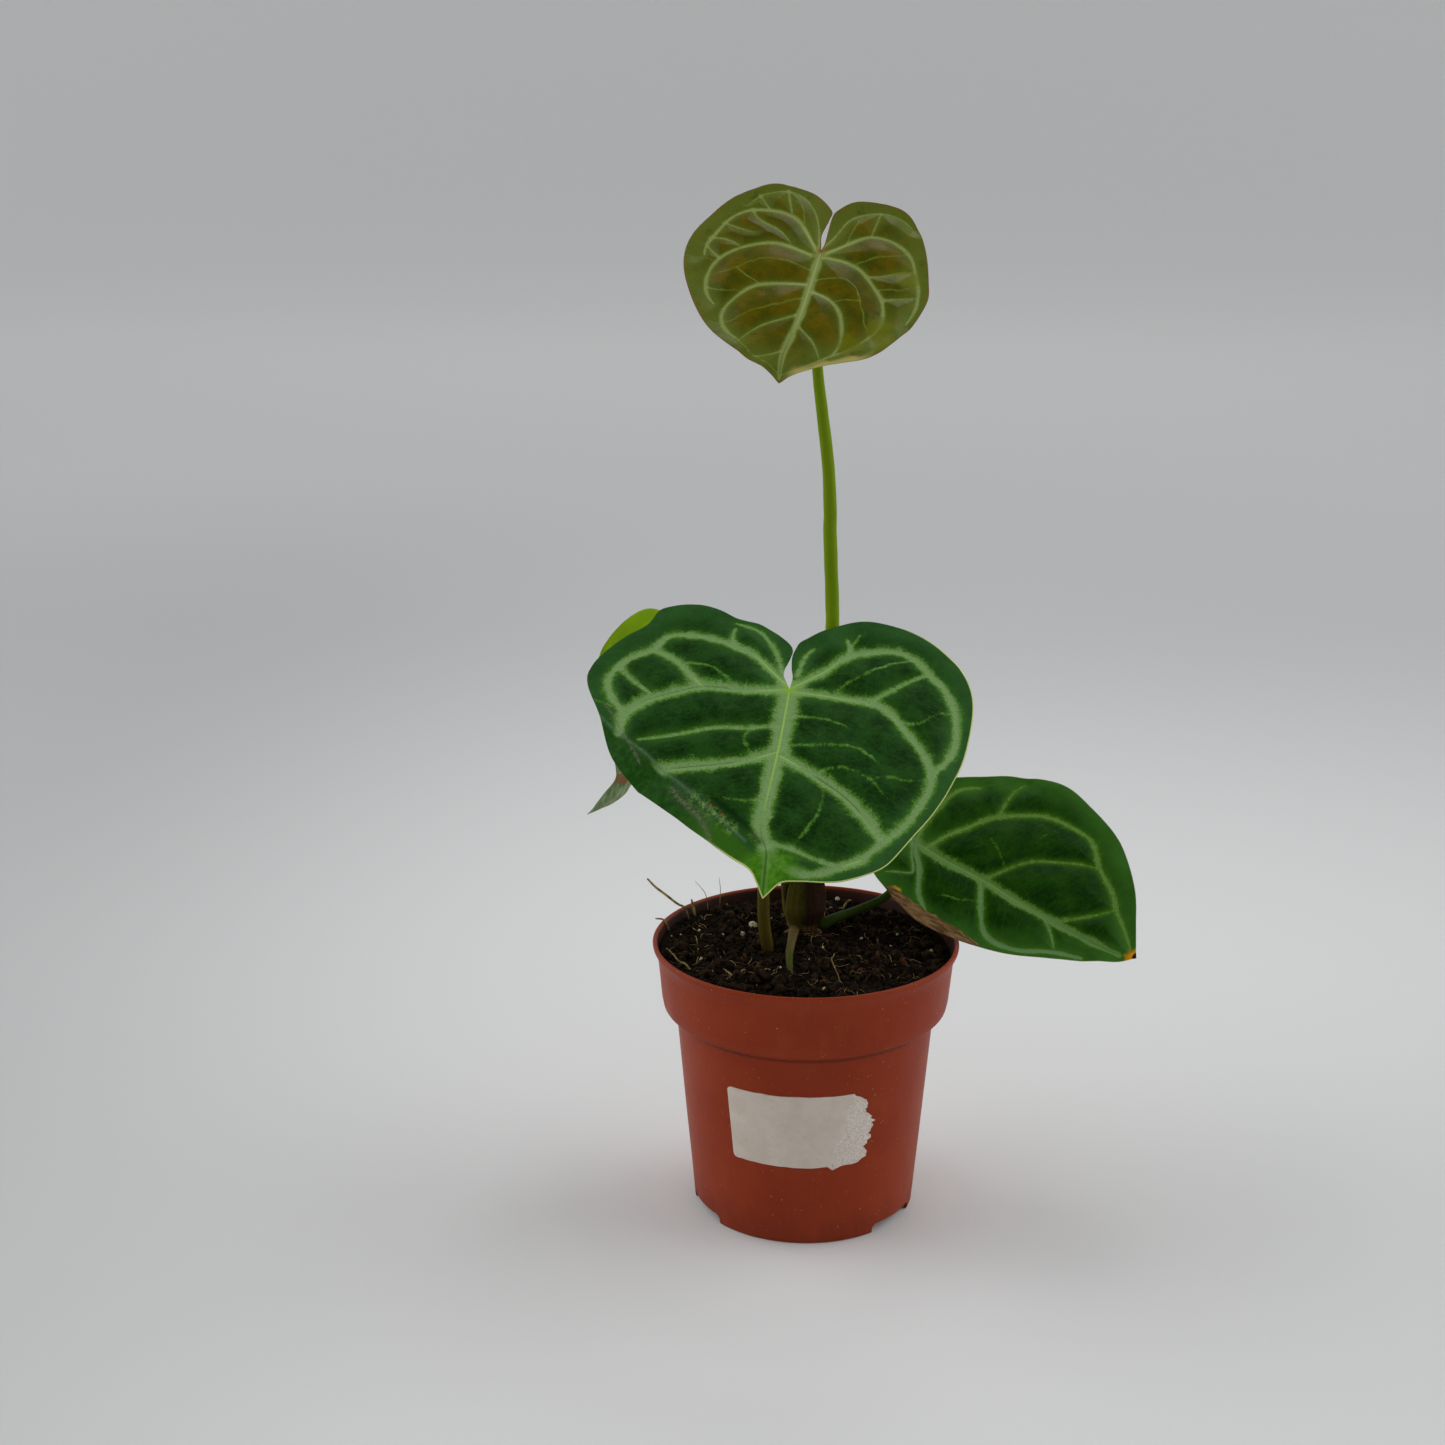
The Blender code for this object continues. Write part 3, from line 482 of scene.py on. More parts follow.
# %% Front leaf outline and veins
# Points are on the flat blade in millimetres, seen from the upper side with the tip down and the
# stalk at (0, 0). The junction is where the stalk meets the blade. An outline runs from the stalk
# up the slit, round a lobe to the tip, and `shoulder` says at which point of it the slit ends. The
# arch is (drop, half width). A fold is (start, end, slope, softness). A vein is (kind, points).
FRONT = dict(
    junction=(-7.0, -19.0, 216.5), dip=29, spin=5, heading=0, shoulder=(4, 4), arch=(5, 72),
    left=[(0, 0), (-2.6, 6.5), (-3, 11), (-1.2, 17), (-1, 21), (-5, 26), (-14, 34), (-23, 37),
          (-39, 42.5), (-53, 41), (-58.5, 31.8), (-70.5, 19.5), (-76.5, 8.5), (-76.5, 0),
          (-69.5, -16), (-62, -33.5), (-49, -48.5), (-32.3, -63.5), (-15, -78), (-6, -85), (-3, -89),
          (0, -94)],
    right=[(0, 0), (0.5, 6.5), (-0.4, 12), (-0.7, 17), (0.3, 21), (3, 26), (15, 35.5), (29, 39), (44, 36),
           (54.5, 28.5), (63.5, 19), (68.5, 2), (66.5, -25), (60.5, -46), (50, -67.5), (40, -84),
           (28, -90), (13, -91.5), (6, -92), (0, -94)],
    folds=[((-74, -12), (-8, -76), 1.0, 2), ((-20, -90), (20, -90), 0.55, 4)],
    veins=[
        ("midrib", [(0, -1), (-1, -31), (-3, -61), (-3, -73), (0, -79), (0, -92)]),
        ("broad", [(0, 0), (-9, -1), (-19, -1), (-33, 0), (-41, -3), (-50, -6), (-57, -11), (-61, -16),
                   (-61, -24)]),
        ("main", [(-33, 0), (-39, 7), (-45, 14), (-54, 19)]),
        ("main", [(-1, 2), (-9, 11), (-15, 18), (-21, 21), (-29, 25), (-37, 27), (-45, 28), (-50, 27),
                  (-54, 19), (-61, 16), (-66, 11), (-69, 6), (-69, -1), (-66, -7), (-61, -14)]),
        ("side", [(-22, 21), (-25, 26), (-24, 32)]),
        ("side", [(-1, 4), (-3, 8), (-7, 20), (-11, 26), (-13, 30), (-18, 33), (-24, 35)]),
        ("fine", [(-20, 1), (-27, 7), (-34, 11), (-41, 12)]),
        ("fine", [(-61, -14), (-68, -10), (-74, -8)]),
        ("side", [(-66, 10), (-59, 2), (-52, -4)]),
        ("main", [(2, -1), (11, -1), (21, -2), (30, -3), (36, -5), (41, -11), (47, -19), (52, -26),
                   (55, -33), (55, -43), (52, -50), (49, -58), (44, -66), (38, -73), (33, -80), (26, -84)]),
        ("main", [(33, -80), (26, -84), (21, -87), (14, -89), (7, -87), (1, -81)]),
        ("main", [(1, 1), (7, 7), (14, 13), (19, 20), (28, 24), (37, 26), (44, 24), (49, 19), (53, 13),
                  (56, 12), (60, 4), (62, -3), (63, -13), (63, -20), (60, -28), (55, -35)]),
        ("side", [(31, -2), (37, 4), (44, 11), (51, 16)]),
        ("fine", [(17, 1), (29, 12), (45, 23)]),
        ("side", [(2, 8), (4, 19), (7, 23)]),
        ("side", [(20, 19), (21, 24), (19, 30)]),
        ("fine", [(20, 23), (24, 32)]),
        ("broad", [(-1, -32), (-9, -36), (-18, -39), (-27, -41), (-36, -42), (-45, -44), (-52, -47)]),
        ("broad", [(0, -34), (8, -39), (17, -45), (25, -51), (32, -59), (36, -64), (39, -69)]),
        ("side", [(-1, -76), (8, -78), (17, -82), (26, -84)]),
        ("side", [(-1, -18), (-13, -21), (-24, -21), (-31, -23), (-40, -26), (-53, -28)]),
        ("fine", [(0, -14), (5, -14), (16, -15), (26, -19)]),
        ("fine", [(0, -29), (8, -29), (25, -27), (36, -34)]),
        ("fine", [(33, -42), (39, -40), (46, -41), (54, -38)]),
        ("fine", [(40, -10), (49, -12), (54, -6), (61, -3)]),
        ("fine", [(12, -42), (22, -38), (33, -42), (41, -52)]),
        ("fine", [(-10, -36), (-14, -28), (-13, -21)]),
        ("fine", [(-2, -56), (-12, -58), (-24, -57)]),
        ("fine", [(8, -78), (14, -68), (17, -58), (17, -45)])])
print("front leaf:", len(FRONT["veins"]), "veins")

# %% Top leaf outline and veins
TOP = dict(
    junction=(3.0, 6.0, 375.5), dip=40, spin=13, heading=0, shoulder=(4, 4), arch=(4, 45),
    left=[(0, 0), (-1.6, 7), (-1.4, 11), (-0.5, 16), (-1, 20), (-10.5, 28), (-23, 30), (-33, 25.5),
          (-42.5, 16), (-49, 0), (-48, -15), (-40, -32), (-30, -45), (-17.5, -53.5), (-5, -59),
          (-0.5, -62)],
    right=[(0, 0), (0.5, 4), (0.2, 10.5), (0.2, 16), (1.5, 20), (8, 26), (19.5, 28), (28, 25),
           (35.8, 12.5), (40.6, -3), (42, -14.5), (36.5, -33), (28.5, -45.5), (15.5, -52), (4, -58),
           (-0.5, -62)],
    folds=[((-10, -54), (10, -54), 0.35, 6)],
    veins=[
        ("midrib", [(0, -1), (0, -19), (0, -32), (-1, -44), (-2, -52), (-1, -60)]),
        ("side", [(-1, 1), (-4, 13), (-8, 21), (-13, 26), (-18, 28), (-24, 26), (-29, 24), (-32, 19)]),
        ("main", [(-2, 0), (-8, 9), (-13, 15), (-20, 17), (-27, 17), (-34, 15), (-38, 10), (-41, 2),
                  (-43, -4), (-42, -8)]),
        ("main", [(-3, -3), (-9, -1), (-17, 1), (-25, -1), (-31, -4), (-36, -9), (-38, -14),
                  (-38, -22), (-36, -28), (-32, -32)]),
        ("main", [(-1, -17), (-7, -18), (-16, -20), (-21, -22), (-25, -28), (-28, -33), (-28, -39),
                  (-24, -45), (-20, -47)]),
        ("side", [(-1, -32), (-7, -36), (-13, -40), (-19, -48)]),
        ("side", [(-1, -48), (-6, -52), (-12, -54)]),
        ("fine", [(-19, -48), (-15, -52), (-9, -55), (-1, -59)]),
        ("side", [(0, 1), (3, 7), (6, 17), (10, 21), (17, 24), (24, 24), (30, 20)]),
        ("main", [(2, -1), (8, 5), (12, 9), (16, 12), (23, 12), (28, 10), (32, 7), (35, 0), (38, -8),
                  (39, -17), (37, -25)]),
        ("main", [(1, -3), (10, -3), (17, -6), (21, -11), (26, -16), (28, -22), (29, -29), (26, -36)]),
        ("main", [(1, -20), (8, -22), (13, -27), (15, -32), (17, -42), (15, -48)]),
        ("side", [(0, -37), (2, -39), (7, -43), (11, -50)]),
        ("side", [(19, -8), (25, -6), (28, -3), (35, 0)]),
        ("side", [(27, -17), (38, -12)]),
        ("side", [(17, 24), (16, 12)]),
        ("side", [(26, -36), (21, -43), (15, -48), (6, -55), (-1, -59)]),
        ("side", [(-36, -9), (-40, -6), (-43, -2)]),
        ("fine", [(14, -3), (19, 0), (23, 3), (27, 4), (30, 8)]),
        ("fine", [(11, 20), (9, 12), (8, 6)]),
        ("fine", [(24, -13), (30, -12), (37, -7)]),
        ("fine", [(1, -15), (10, -12), (14, -13), (18, -17), (19, -21), (22, -27), (22, -30), (26, -35)]),
        ("fine", [(19, -21), (15, -21), (10, -23)]),
        ("fine", [(-1, -10), (-10, -9), (-15, -7), (-17, -9), (-24, -10), (-28, -15), (-37, -18)]),
        ("fine", [(-28, -15), (-23, -18), (-18, -20)]),
        ("fine", [(-1, -24), (-11, -31), (-20, -36), (-21, -39), (-28, -41), (-34, -41)]),
        ("fine", [(-37, -24), (-32, -26), (-25, -25)]),
        ("fine", [(-48, -10), (-43, -9), (-38, -11)]),
        ("side", [(-39, 9), (-31, 6), (-26, 5)]),
        ("side", [(-30, 17), (-27, 12), (-18, 8), (-12, 2)]),
        ("side", [(-42, 1), (-36, 1), (-30, -2)]),
        ("side", [(-29, 24), (-23, 17)]),
        ("side", [(-19, 28), (-17, 22), (-15, 17)]),
        ("fine", [(-15, 23), (-11, 19), (-9, 12)])])
print("top leaf:", len(TOP["veins"]), "veins")

# %% Right leaf outline and veins
RIGHT = dict(
    junction=(43.5, 29.5, 140.4), dip=40, spin=-58, heading=0, shoulder=(2, 2), arch=(4, 50),
    left=[(0, 0), (-0.7, 5), (-3, 11), (-9, 15), (-16, 13.5), (-21.5, 6.5), (-24.5, 0),
          (-28, -9), (-30.5, -20), (-30, -33), (-27.5, -44), (-22, -60.5), (-13, -78),
          (-5.5, -91.5), (1, -99)],
    right=[(0, 0), (0.7, 5), (3, 11), (11, 15.7), (20.5, 15), (29.5, 8.8), (36.2, 1.3), (43.4, -8),
           (50.8, -19.5), (57, -37), (52, -55.5), (43.2, -70.5), (28, -84), (13, -92.5), (1, -99)],
    folds=[],
    veins=[
        ("midrib", [(0, -1), (-1, -12), (-1, -24), (-1, -35), (-2, -47), (-2, -58), (-2, -70),
                    (-2, -81), (-1, -93)]),
        ("main", [(-1, -5), (9, -9), (18, -15), (26, -19), (32, -26), (39, -36), (41, -44), (41, -52),
                  (40, -59), (34, -64), (29, -68), (25, -74), (21, -79), (16, -82), (12, -87),
                  (4, -95)]),
        ("side", [(0, -32), (8, -37), (17, -43), (23, -53), (28, -62), (29, -67)]),
        ("side", [(-1, -65), (5, -72), (11, -78), (16, -82)]),
        ("main", [(-1, -1), (-4, -2), (-8, -7), (-16, -11), (-21, -14), (-24, -19)]),
        ("main", [(-1, -31), (-10, -36), (-18, -41), (-22, -45), (-22, -52), (-20, -60), (-14, -70),
                  (-10, -81)]),
        ("side", [(-2, -60), (-7, -66), (-12, -70)]),
        ("side", [(29, -22), (36, -21), (44, -21), (49, -23)]),
        ("main", [(0, 0), (10, 1), (24, 0), (32, -2), (37, -8)]),
        ("fine", [(37, -8), (42, -14), (44, -21)]),
        ("fine", [(42, -47), (36, -45), (28, -41)]),
        ("side", [(-1, 0), (-7, -2), (-13, -8), (-15, -2), (-18, 3)]),
        ("fine", [(8, -37), (14, -30), (17, -24)]),
        ("fine", [(-10, -36), (-14, -28), (-17, -20)])])
print("right leaf:", len(RIGHT["veins"]), "veins")

# %% Back leaf outline and veins
BACK = dict(
    junction=(-57.0, 54.0, 207.5), dip=62, spin=0, heading=-150, shoulder=(3, 3), arch=(5, 38),
    left=[(0, 0), (-0.7, 7), (-1, 14), (-4, 19), (-10, 21.5), (-20, 20.5), (-30, 13), (-37, 1),
          (-38, -13), (-34, -27), (-25, -43), (-13, -57), (-4, -65.5), (0.5, -71), (2, -76.5),
          (7.3, -81), (13, -81.8), (19, -83.5)],
    right=[(0, 0), (0.7, 7), (1.5, 14), (4, 22), (9, 27), (17, 29), (26, 26), (31.5, 18),
           (33.5, 10), (32, -4), (27, -20), (19, -38), (12.5, -53), (9.8, -61), (9.6, -66),
           (13, -72.5), (16, -78), (19, -83.5)],
    folds=[],
    veins=[
        ("midrib", [(0, 0), (1, -25), (2, -50), (4, -66), (9, -75), (15, -80)]),
        ("main", [(0, 0), (-17, 11), (-29, 3), (-31, -14), (-22, -34), (-8, -56)]),
        ("side", [(0, 0), (-12, -14), (-22, -34)]),
        ("main", [(0, 0), (14, 18), (24, 12), (26, -4), (18, -26), (9, -50)]),
        ("side", [(1, -25), (14, -36)]),
        ("side", [(0, 0), (13, -12), (18, -26)])])
print("back leaf:", len(BACK["veins"]), "veins")

# %% Vein and blade sizes
# For each kind of vein: half width of its silver band at the start and at the end in millimetres,
# then, from 0 to 1, how deep it sits between the cells, how strong its middle line is, and how full
# the band is.
VEIN_KINDS = {"midrib": (4.5, 3.1, 1.0, 0.0, 1.0), "broad": (2.7, 3.5, 1.0, 1.0, 1.0),
              "main": (2.4, 2.0, 1.0, 0.9, 0.95), "side": (1.6, 1.0, 0.8, 0.4, 0.8),
              "fine": (0.9, 0.7, 0.0, 0.0, 0.6)}
VEIN_STEP = 1.5
VEIN_EVENING = 8            # rounds of averaging that take the corners out of a vein
VEIN_LINE = 0.5             # half width of the middle line
WANDER = 0.25               # how much the width of a band varies along it
LEAST_PATCHY = 0.5          # scale of a blade above which its fine veins fade in places
NEAR_REACH = 5.0            # how far the lighter green beside the sunk veins reaches
LEAST_NEAR = 3.5
QUILT = 1.5                 # bulge of the cells between the veins
QUILT_REACH = 6.0
GROOVE = 0.25
GROOVE_REACH = 1.5
WAVE = 0.7                  # of the margin
WAVE_REACH = 5.0
BLADE_THICK = 0.45
RIB = 1.1                   # how far a vein stands out below
RIB_WIDTH = 1.3
LEAVES = dict(front=FRONT, top=TOP, right=RIGHT, back=BACK)
print("widest silver band:", 2 * max(max(kind[:2]) for kind in VEIN_KINDS.values()), "mm")

# %% Leaf grid
FAN = 0.38                  # share of the margin whose rows start at the stalk
SLIT_FADE = 0.25            # share of the margin over which the slit's bends fade from the rows
MIDRIB_POINTS = 400


def leaf_rows(leaf, rows, half):
    """Flat grid of a blade. For the share t along the margin and s across a half, a point is
    C(t) + s (M(t) - C(t)) + w(t) (slit(s) - straight(s)): M runs from the slit's top round the lobe
    to the tip, C stays at the stalk and then goes down the midrib, and w fades from 1 to 0."""
    t = np.linspace(0, 1, rows)[:, None, None]
    s = np.linspace(0, 1, half)[None, :, None]
    down = np.clip((t[:, 0, 0] - FAN) / (1 - FAN), 0, 1)
    midrib = curve([(0, 0)] + leaf["veins"][0][1][1:-1] + [leaf["left"][-1]], MIDRIB_POINTS)
    steps = np.linspace(0, 1, MIDRIB_POINTS)
    centre = np.stack([np.interp(down, steps, midrib[:, k]) for k in (0, 1)], -1)[:, None]
    fade = np.clip(1 - t / SLIT_FADE, 0, 1) ** 2
    halves = []
    for side, top in zip(("left", "right"), leaf["shoulder"]):
        margin = curve(leaf[side], rows, start=top)[:, None]
        slit = curve(leaf[side], half, end=top)[None]
        halves.append(centre + s * (margin - centre) + fade * (slit - s * margin[:1]))
    return np.concatenate([halves[0][:, ::-1], halves[1][:, 1:]], axis=1)


print("a coarse front blade:", leaf_rows(FRONT, 9, 5).shape)


# %% Vein fields
def nearest(flat, line):
    """Distance from each point to a line of points, the length run along it to there, and that
    length as a share of the whole line."""
    run = np.concatenate([[0], np.cumsum(np.linalg.norm(np.diff(line, axis=0), axis=1))])
    best = np.full(len(flat), 1e9)
    along = np.zeros(len(flat))
    for a, b, start in zip(line[:-1], line[1:], run):
        step = b - a
        share = np.clip((flat - a) @ step / (step @ step), 0, 1)
        far_off = np.hypot(*(flat - a - share[:, None] * step).T)
        closer = far_off < best
        best = np.where(closer, far_off, best)
        along = np.where(closer, start + share * np.hypot(*step), along)
    return best, along, along / run[-1]


def ramp(s, soft):
    """Zero for a negative length, the length itself for a positive one, rounded between."""
    return 0.5 * (s + np.sqrt(s * s + soft * soft))


def vein_path(kind, points):
    """Smooth curve through a vein's points. Each round of averaging adds to a point b, between a and
    c, a quarter of (a - 2b + c). A fine vein also wavers."""
    length = np.hypot(*np.diff(np.array(points, float), axis=0).T).sum()
    path = curve(points, int(length / VEIN_STEP) + 2)
    for _ in range(VEIN_EVENING):
        path[1:-1] += 0.25 * (path[:-2] - 2 * path[1:-1] + path[2:])
    if kind == "fine":
        path += 0.5 * np.stack([rough(path, 2.6, 4), rough(path, 2.6, 5)], -1)
    return path


def leaf_fields(leaf, flat, scale):
    """For each flat point: middle line, silver band and length along its strongest vein, distance to
    the sunk veins and to the margin, and, beside the midrib, how far to its right the point lies, how
    strongly its core shows there and how near the next vein is. The middle line is bright, and so
    above 0, on a vein's first part, and dark, and so below 0, further on a broad one. A vein's band is
    full e^-(distance/half width)², or cubed for the flatter midrib, with a half width that wanders
    and ends thin. Where bands a and b meet they fill the corner, as 1 - (1 - a)(1 - b)."""
    line = np.zeros(len(flat))
    bare = np.ones(len(flat))
    strongest = np.zeros(len(flat))
    along = np.zeros(len(flat))
    sunk = np.full(len(flat), 1e9)
    for k, (kind, points) in enumerate(leaf["veins"]):
        wide, wide_end, depth, bright, full = VEIN_KINDS[kind]
        path = vein_path(kind, points)
        away, run, share = nearest(flat, path)
        dark = 0.8 if kind == "broad" else 0.0
        turning = 1 - (1 + dark) * smooth(share, 0.10, 0.35) + dark * smooth(share, 0.65, 0.95)
        middle_line = bright * turning * np.exp(-(away / VEIN_LINE) ** 2)
        line = np.where(np.abs(middle_line) > np.abs(line), middle_line, line)
        half = scale * (wide + (wide_end - wide) * share) * (1 - 0.4 * smooth(share, 0.88, 1.0))
        half *= 1 + WANDER * rough(flat, 4.0, 60 + k)
        here = full * np.exp(-(away / half) ** (3 if kind == "midrib" else 2))
        if kind == "fine" and scale > LEAST_PATCHY:
            here *= 0.66 + 0.34 * rough(flat, 5.0, 90 + k)
        along = np.where(here > strongest, run + 37.0 * k, along)
        strongest = np.maximum(strongest, here)
        bare = bare * (1 - here)
        if depth:
            sunk = np.minimum(sunk, away / depth)
        if k == 0:
            middle = np.interp(-flat[:, 1], -path[:, 1], path[:, 0])
            rib = np.column_stack([flat[:, 0] - middle, (1 - share) ** 0.7, 0 * share])
            rib[:, 1] *= smooth(-flat[:, 1], 0.0, 2.0)
    rib[:, 2] = np.exp(-sunk / max(NEAR_REACH * scale, LEAST_NEAR))
    outline = np.vstack([curve(leaf["left"], 160), curve(leaf["right"], 160)[::-1]])
    margin = nearest(flat, outline)[0]
    return line, 1 - bare, along, sunk, margin, rib


# %% Leaf height and place
def leaf_height(leaf, flat, sunk, margin, seed):
    """Height over the flat blade: -drop (u/half)² for the arch, -slope ramp(beyond) for each fold,
    quilt (1 - e^-(d/reach)²) between the veins, a sharper groove of the same form along them, and a
    slow wave that grows towards the margin."""
    u, v = flat.T
    drop, half_width = leaf["arch"]
    height = -drop * (u / half_width) ** 2
    for start, end, slope, soft in leaf["folds"]:
        along = np.subtract(end, start) / np.hypot(*np.subtract(end, start))
        beyond = (u - start[0]) * along[1] - (v - start[1]) * along[0]
        at_stalk = -start[0] * along[1] + start[1] * along[0]
        height -= slope * (ramp(beyond, soft) - ramp(at_stalk, soft))
    height += QUILT * (1 - np.exp(-(sunk / QUILT_REACH) ** 2))
    height += GROOVE * (1 - np.exp(-(sunk / GROOVE_REACH) ** 2))
    height += 0.35 * rough(flat, 17.0, seed) + 0.12 * rough(flat, 5.0, seed + 1)
    return height + WAVE * rough(flat, 13.0, seed + 2) * np.exp(-(margin / WAVE_REACH) ** 2)


def blade_frame(leaf):
    """Turn of a blade: spun in its own plane, tipped towards -Y, then turned about the vertical."""
    steps = ((leaf["heading"], "Z"), (leaf["dip"], "X"), (-leaf["spin"], "Z"))
    heading, dip, spin = (Matrix.Rotation(radians(angle), 3, axis) for angle, axis in steps)
    return np.array(heading @ dip @ spin)


# %% Leaf mesh
def make_leaf(name, finish, rows, half, scale, seed, zones):
    """A blade as one closed slab, with its fields and the marks of its zones on the points. It is
    thinner at the margin and thicker at the ribs."""
    leaf = LEAVES[name]
    grid = leaf_rows(leaf, rows, half)
    flat = grid.reshape(-1, 2)
    line, band, along, sunk, margin, rib = leaf_fields(leaf, flat, scale)
    height = leaf_height(leaf, flat, sunk, margin, seed)
    upper = np.column_stack([flat, height]).reshape(*grid.shape[:2], 3)
    taper = np.clip(margin / 12.0, 0.25, 1)
    thick = BLADE_THICK * (0.55 + 0.45 * smooth(margin, 0, 1.5))
    thick += RIB * taper * np.exp(-(sunk / RIB_WIDTH) ** 2)
    lower = (upper - np.stack([0 * thick, 0 * thick, thick], -1).reshape(upper.shape))[::2, ::2]
    points, triangles = slab(upper, lower)
    under = np.concatenate([np.zeros(len(flat)), np.ones(lower.size // 3)])

    def both(values):
        """A field on the upper points and then on the lower ones."""
        coarse = values.reshape(*grid.shape[:2], *values.shape[1:])[::2, ::2]
        return np.concatenate([values, coarse.reshape(-1, *values.shape[1:])])

    fields = dict(line=both(line), band=both(band), along=both(along), margin=both(margin), under=under,
                  rib=both(rib), flat=both(np.column_stack([flat, np.zeros(len(flat))])))
    for key, values in zones(*flat.T, margin).items():
        fields[key] = both(values)
    placed = np.array(leaf["junction"]) + points @ blade_frame(leaf).T
    build("blade_" + name, placed, triangles, finish, "blade_" + name, ("leaf_" + name,), fields)


# %% [markdown]
# Leaf finish
#
# On the plant the silver is not paint on the veins: it is a pale band either side of them that
# frays into the dark cell in short strokes across the vein. A stroke pattern is noise that is
# stretched across the vein, so it reads the length along the vein and hardly the distance from it.
# The strokes end in lime green before the dark of the cell. Over that lie the core of the midrib,
# a faint net of small veins, a pale rim and the matt underside.


# %% Leaf finish
LEAF_RELIEF = 0.05
UNDER_ROUGHNESS = 0.62


def leaf_finish(name, shades, gloss, fray=1.1, shine=0.08, net=0.10, rim_width=0.5, halo=0.0):
    """Blade skin from the fields on its points, with the colours of its upper side and underside.
    The shades go from the cells to the bright vein: cell, deep, rim, lime, silver, core, edge,
    below, star. Faint streaks run out from the midrib at the slope of its side veins, because they
    read u and v + 0.4 |u|."""
    cell, deep, rim, lime, silver, core, edge, below, star = (tint(*shade) for shade in shades)
    skin = Finish("skin_" + name, Specular_IOR_Level=shine)
    flat = skin.field("flat", "Vector")
    band, line, along = skin.field("band"), skin.field("line"), skin.field("along")
    margin, under = skin.field("margin"), skin.field("under")
    beside, strong, near = skin.parts(skin.field("rib", "Vector"))
    cloud = skin.noise(flat, 11.0, 3.0)
    patch = skin.noise(flat, 3.4, 4.0, 0.6, stretch=(1.0, 1.8, 1.0))
    grain = skin.noise(flat, 0.8, 3.0, 0.6)
    u, v, _ = skin.parts(flat)
    streaks = skin.noise(skin.vector(u * 0.2, v + 0.4 * (u * u) ** 0.5), 1.5, 4.0, 0.6)
    tufts = skin.noise(skin.vector(along, band * 2.4), 2.0, 3.0, 0.6)
    teeth = skin.noise(skin.vector(along, band * 1.6), 0.55, 4.0, 0.7)
    strand = skin.noise(skin.vector(along, band * 1.2), 0.36, 3.0, 0.65)
    frost = skin.noise(flat, 0.55, 2.0, 0.6)
    veinlets = skin.cells(flat, 2.6, "DISTANCE_TO_EDGE")
    lime = skin.mix(tufts.rise(0.35, 0.65) * 0.5, lime, skin.mix(0.5, lime, deep))
    frayed = band + fray * ((tufts - 0.5) * 0.9 + (teeth - 0.5) * 0.6 + (grain - 0.5) * 0.8)
    inside = band.rise(0.03, 0.15)
    pale = skin.mix((strand * 0.6 + frost * 0.4).rise(0.34, 0.62), skin.mix(0.6, silver, lime), silver)
    thread = (beside * beside).rise(0.22, 0.05)
    cells = skin.coats(
        cell,
        (cloud.rise(0.35, 0.68), deep),
        (patch.rise(0.45, 0.72) * 0.5, deep),
        (streaks.rise(0.50, 0.72) * 0.55, skin.mix(0.2, deep, rim)),
        (near.rise(0.25, 0.75) * (0.25 + 0.5 * cloud), skin.mix(0.45, deep, lime)),
        ((near + 0.5 * (patch - 0.5)).rise(0.35, 0.95) * halo, lime),
        (margin.rise(14.0, 2.0) * (0.35 + 0.5 * cloud), rim),
        (veinlets.rise(0.10, 0.0) * net, lime))
    colour = skin.coats(
        cells,
        (frayed.rise(0.10, 0.52) * inside, lime),
        (frayed.rise(0.34, 0.92) * inside, pale),
        (line.rise(0.30, 0.90) * 0.85, core),
        ((0.0 - line).rise(0.20, 0.85) * 0.7, skin.mix(0.35, deep, lime)),
        (thread * strong.rise(0.25, 0.75), core),
        (thread * strong.rise(0.6, 0.2) * strong.rise(0.0, 0.1) * 0.6, lime),
        (skin.field("star"), star),
        # Where a blade's lit zone is not everywhere, this pale rim is partly its own pale edge and partly a
        # painted highlight where the margin catches the light.
        (margin.rise(rim_width, 0.3 * rim_width) * skin.field("lit"), edge))
    matt = gloss + 0.16 * (grain - 0.5) + 0.10 * band
    skin.feed("Roughness", matt + under * (UNDER_ROUGHNESS - gloss))
    skin.bump(grain * 0.4 + veinlets.rise(0.0, 0.16) * 0.3 + streaks * 0.6, LEAF_RELIEF)
    return skin, colour, skin.mix(cloud.rise(0.3, 0.7), below, skin.mix(0.25, below, rim))


def two_sided(skin, colour, lower):
    """Feeds the colours of the upper side and the underside."""
    skin.feed("Base Color", skin.mix(skin.field("under"), colour, lower))
    return skin


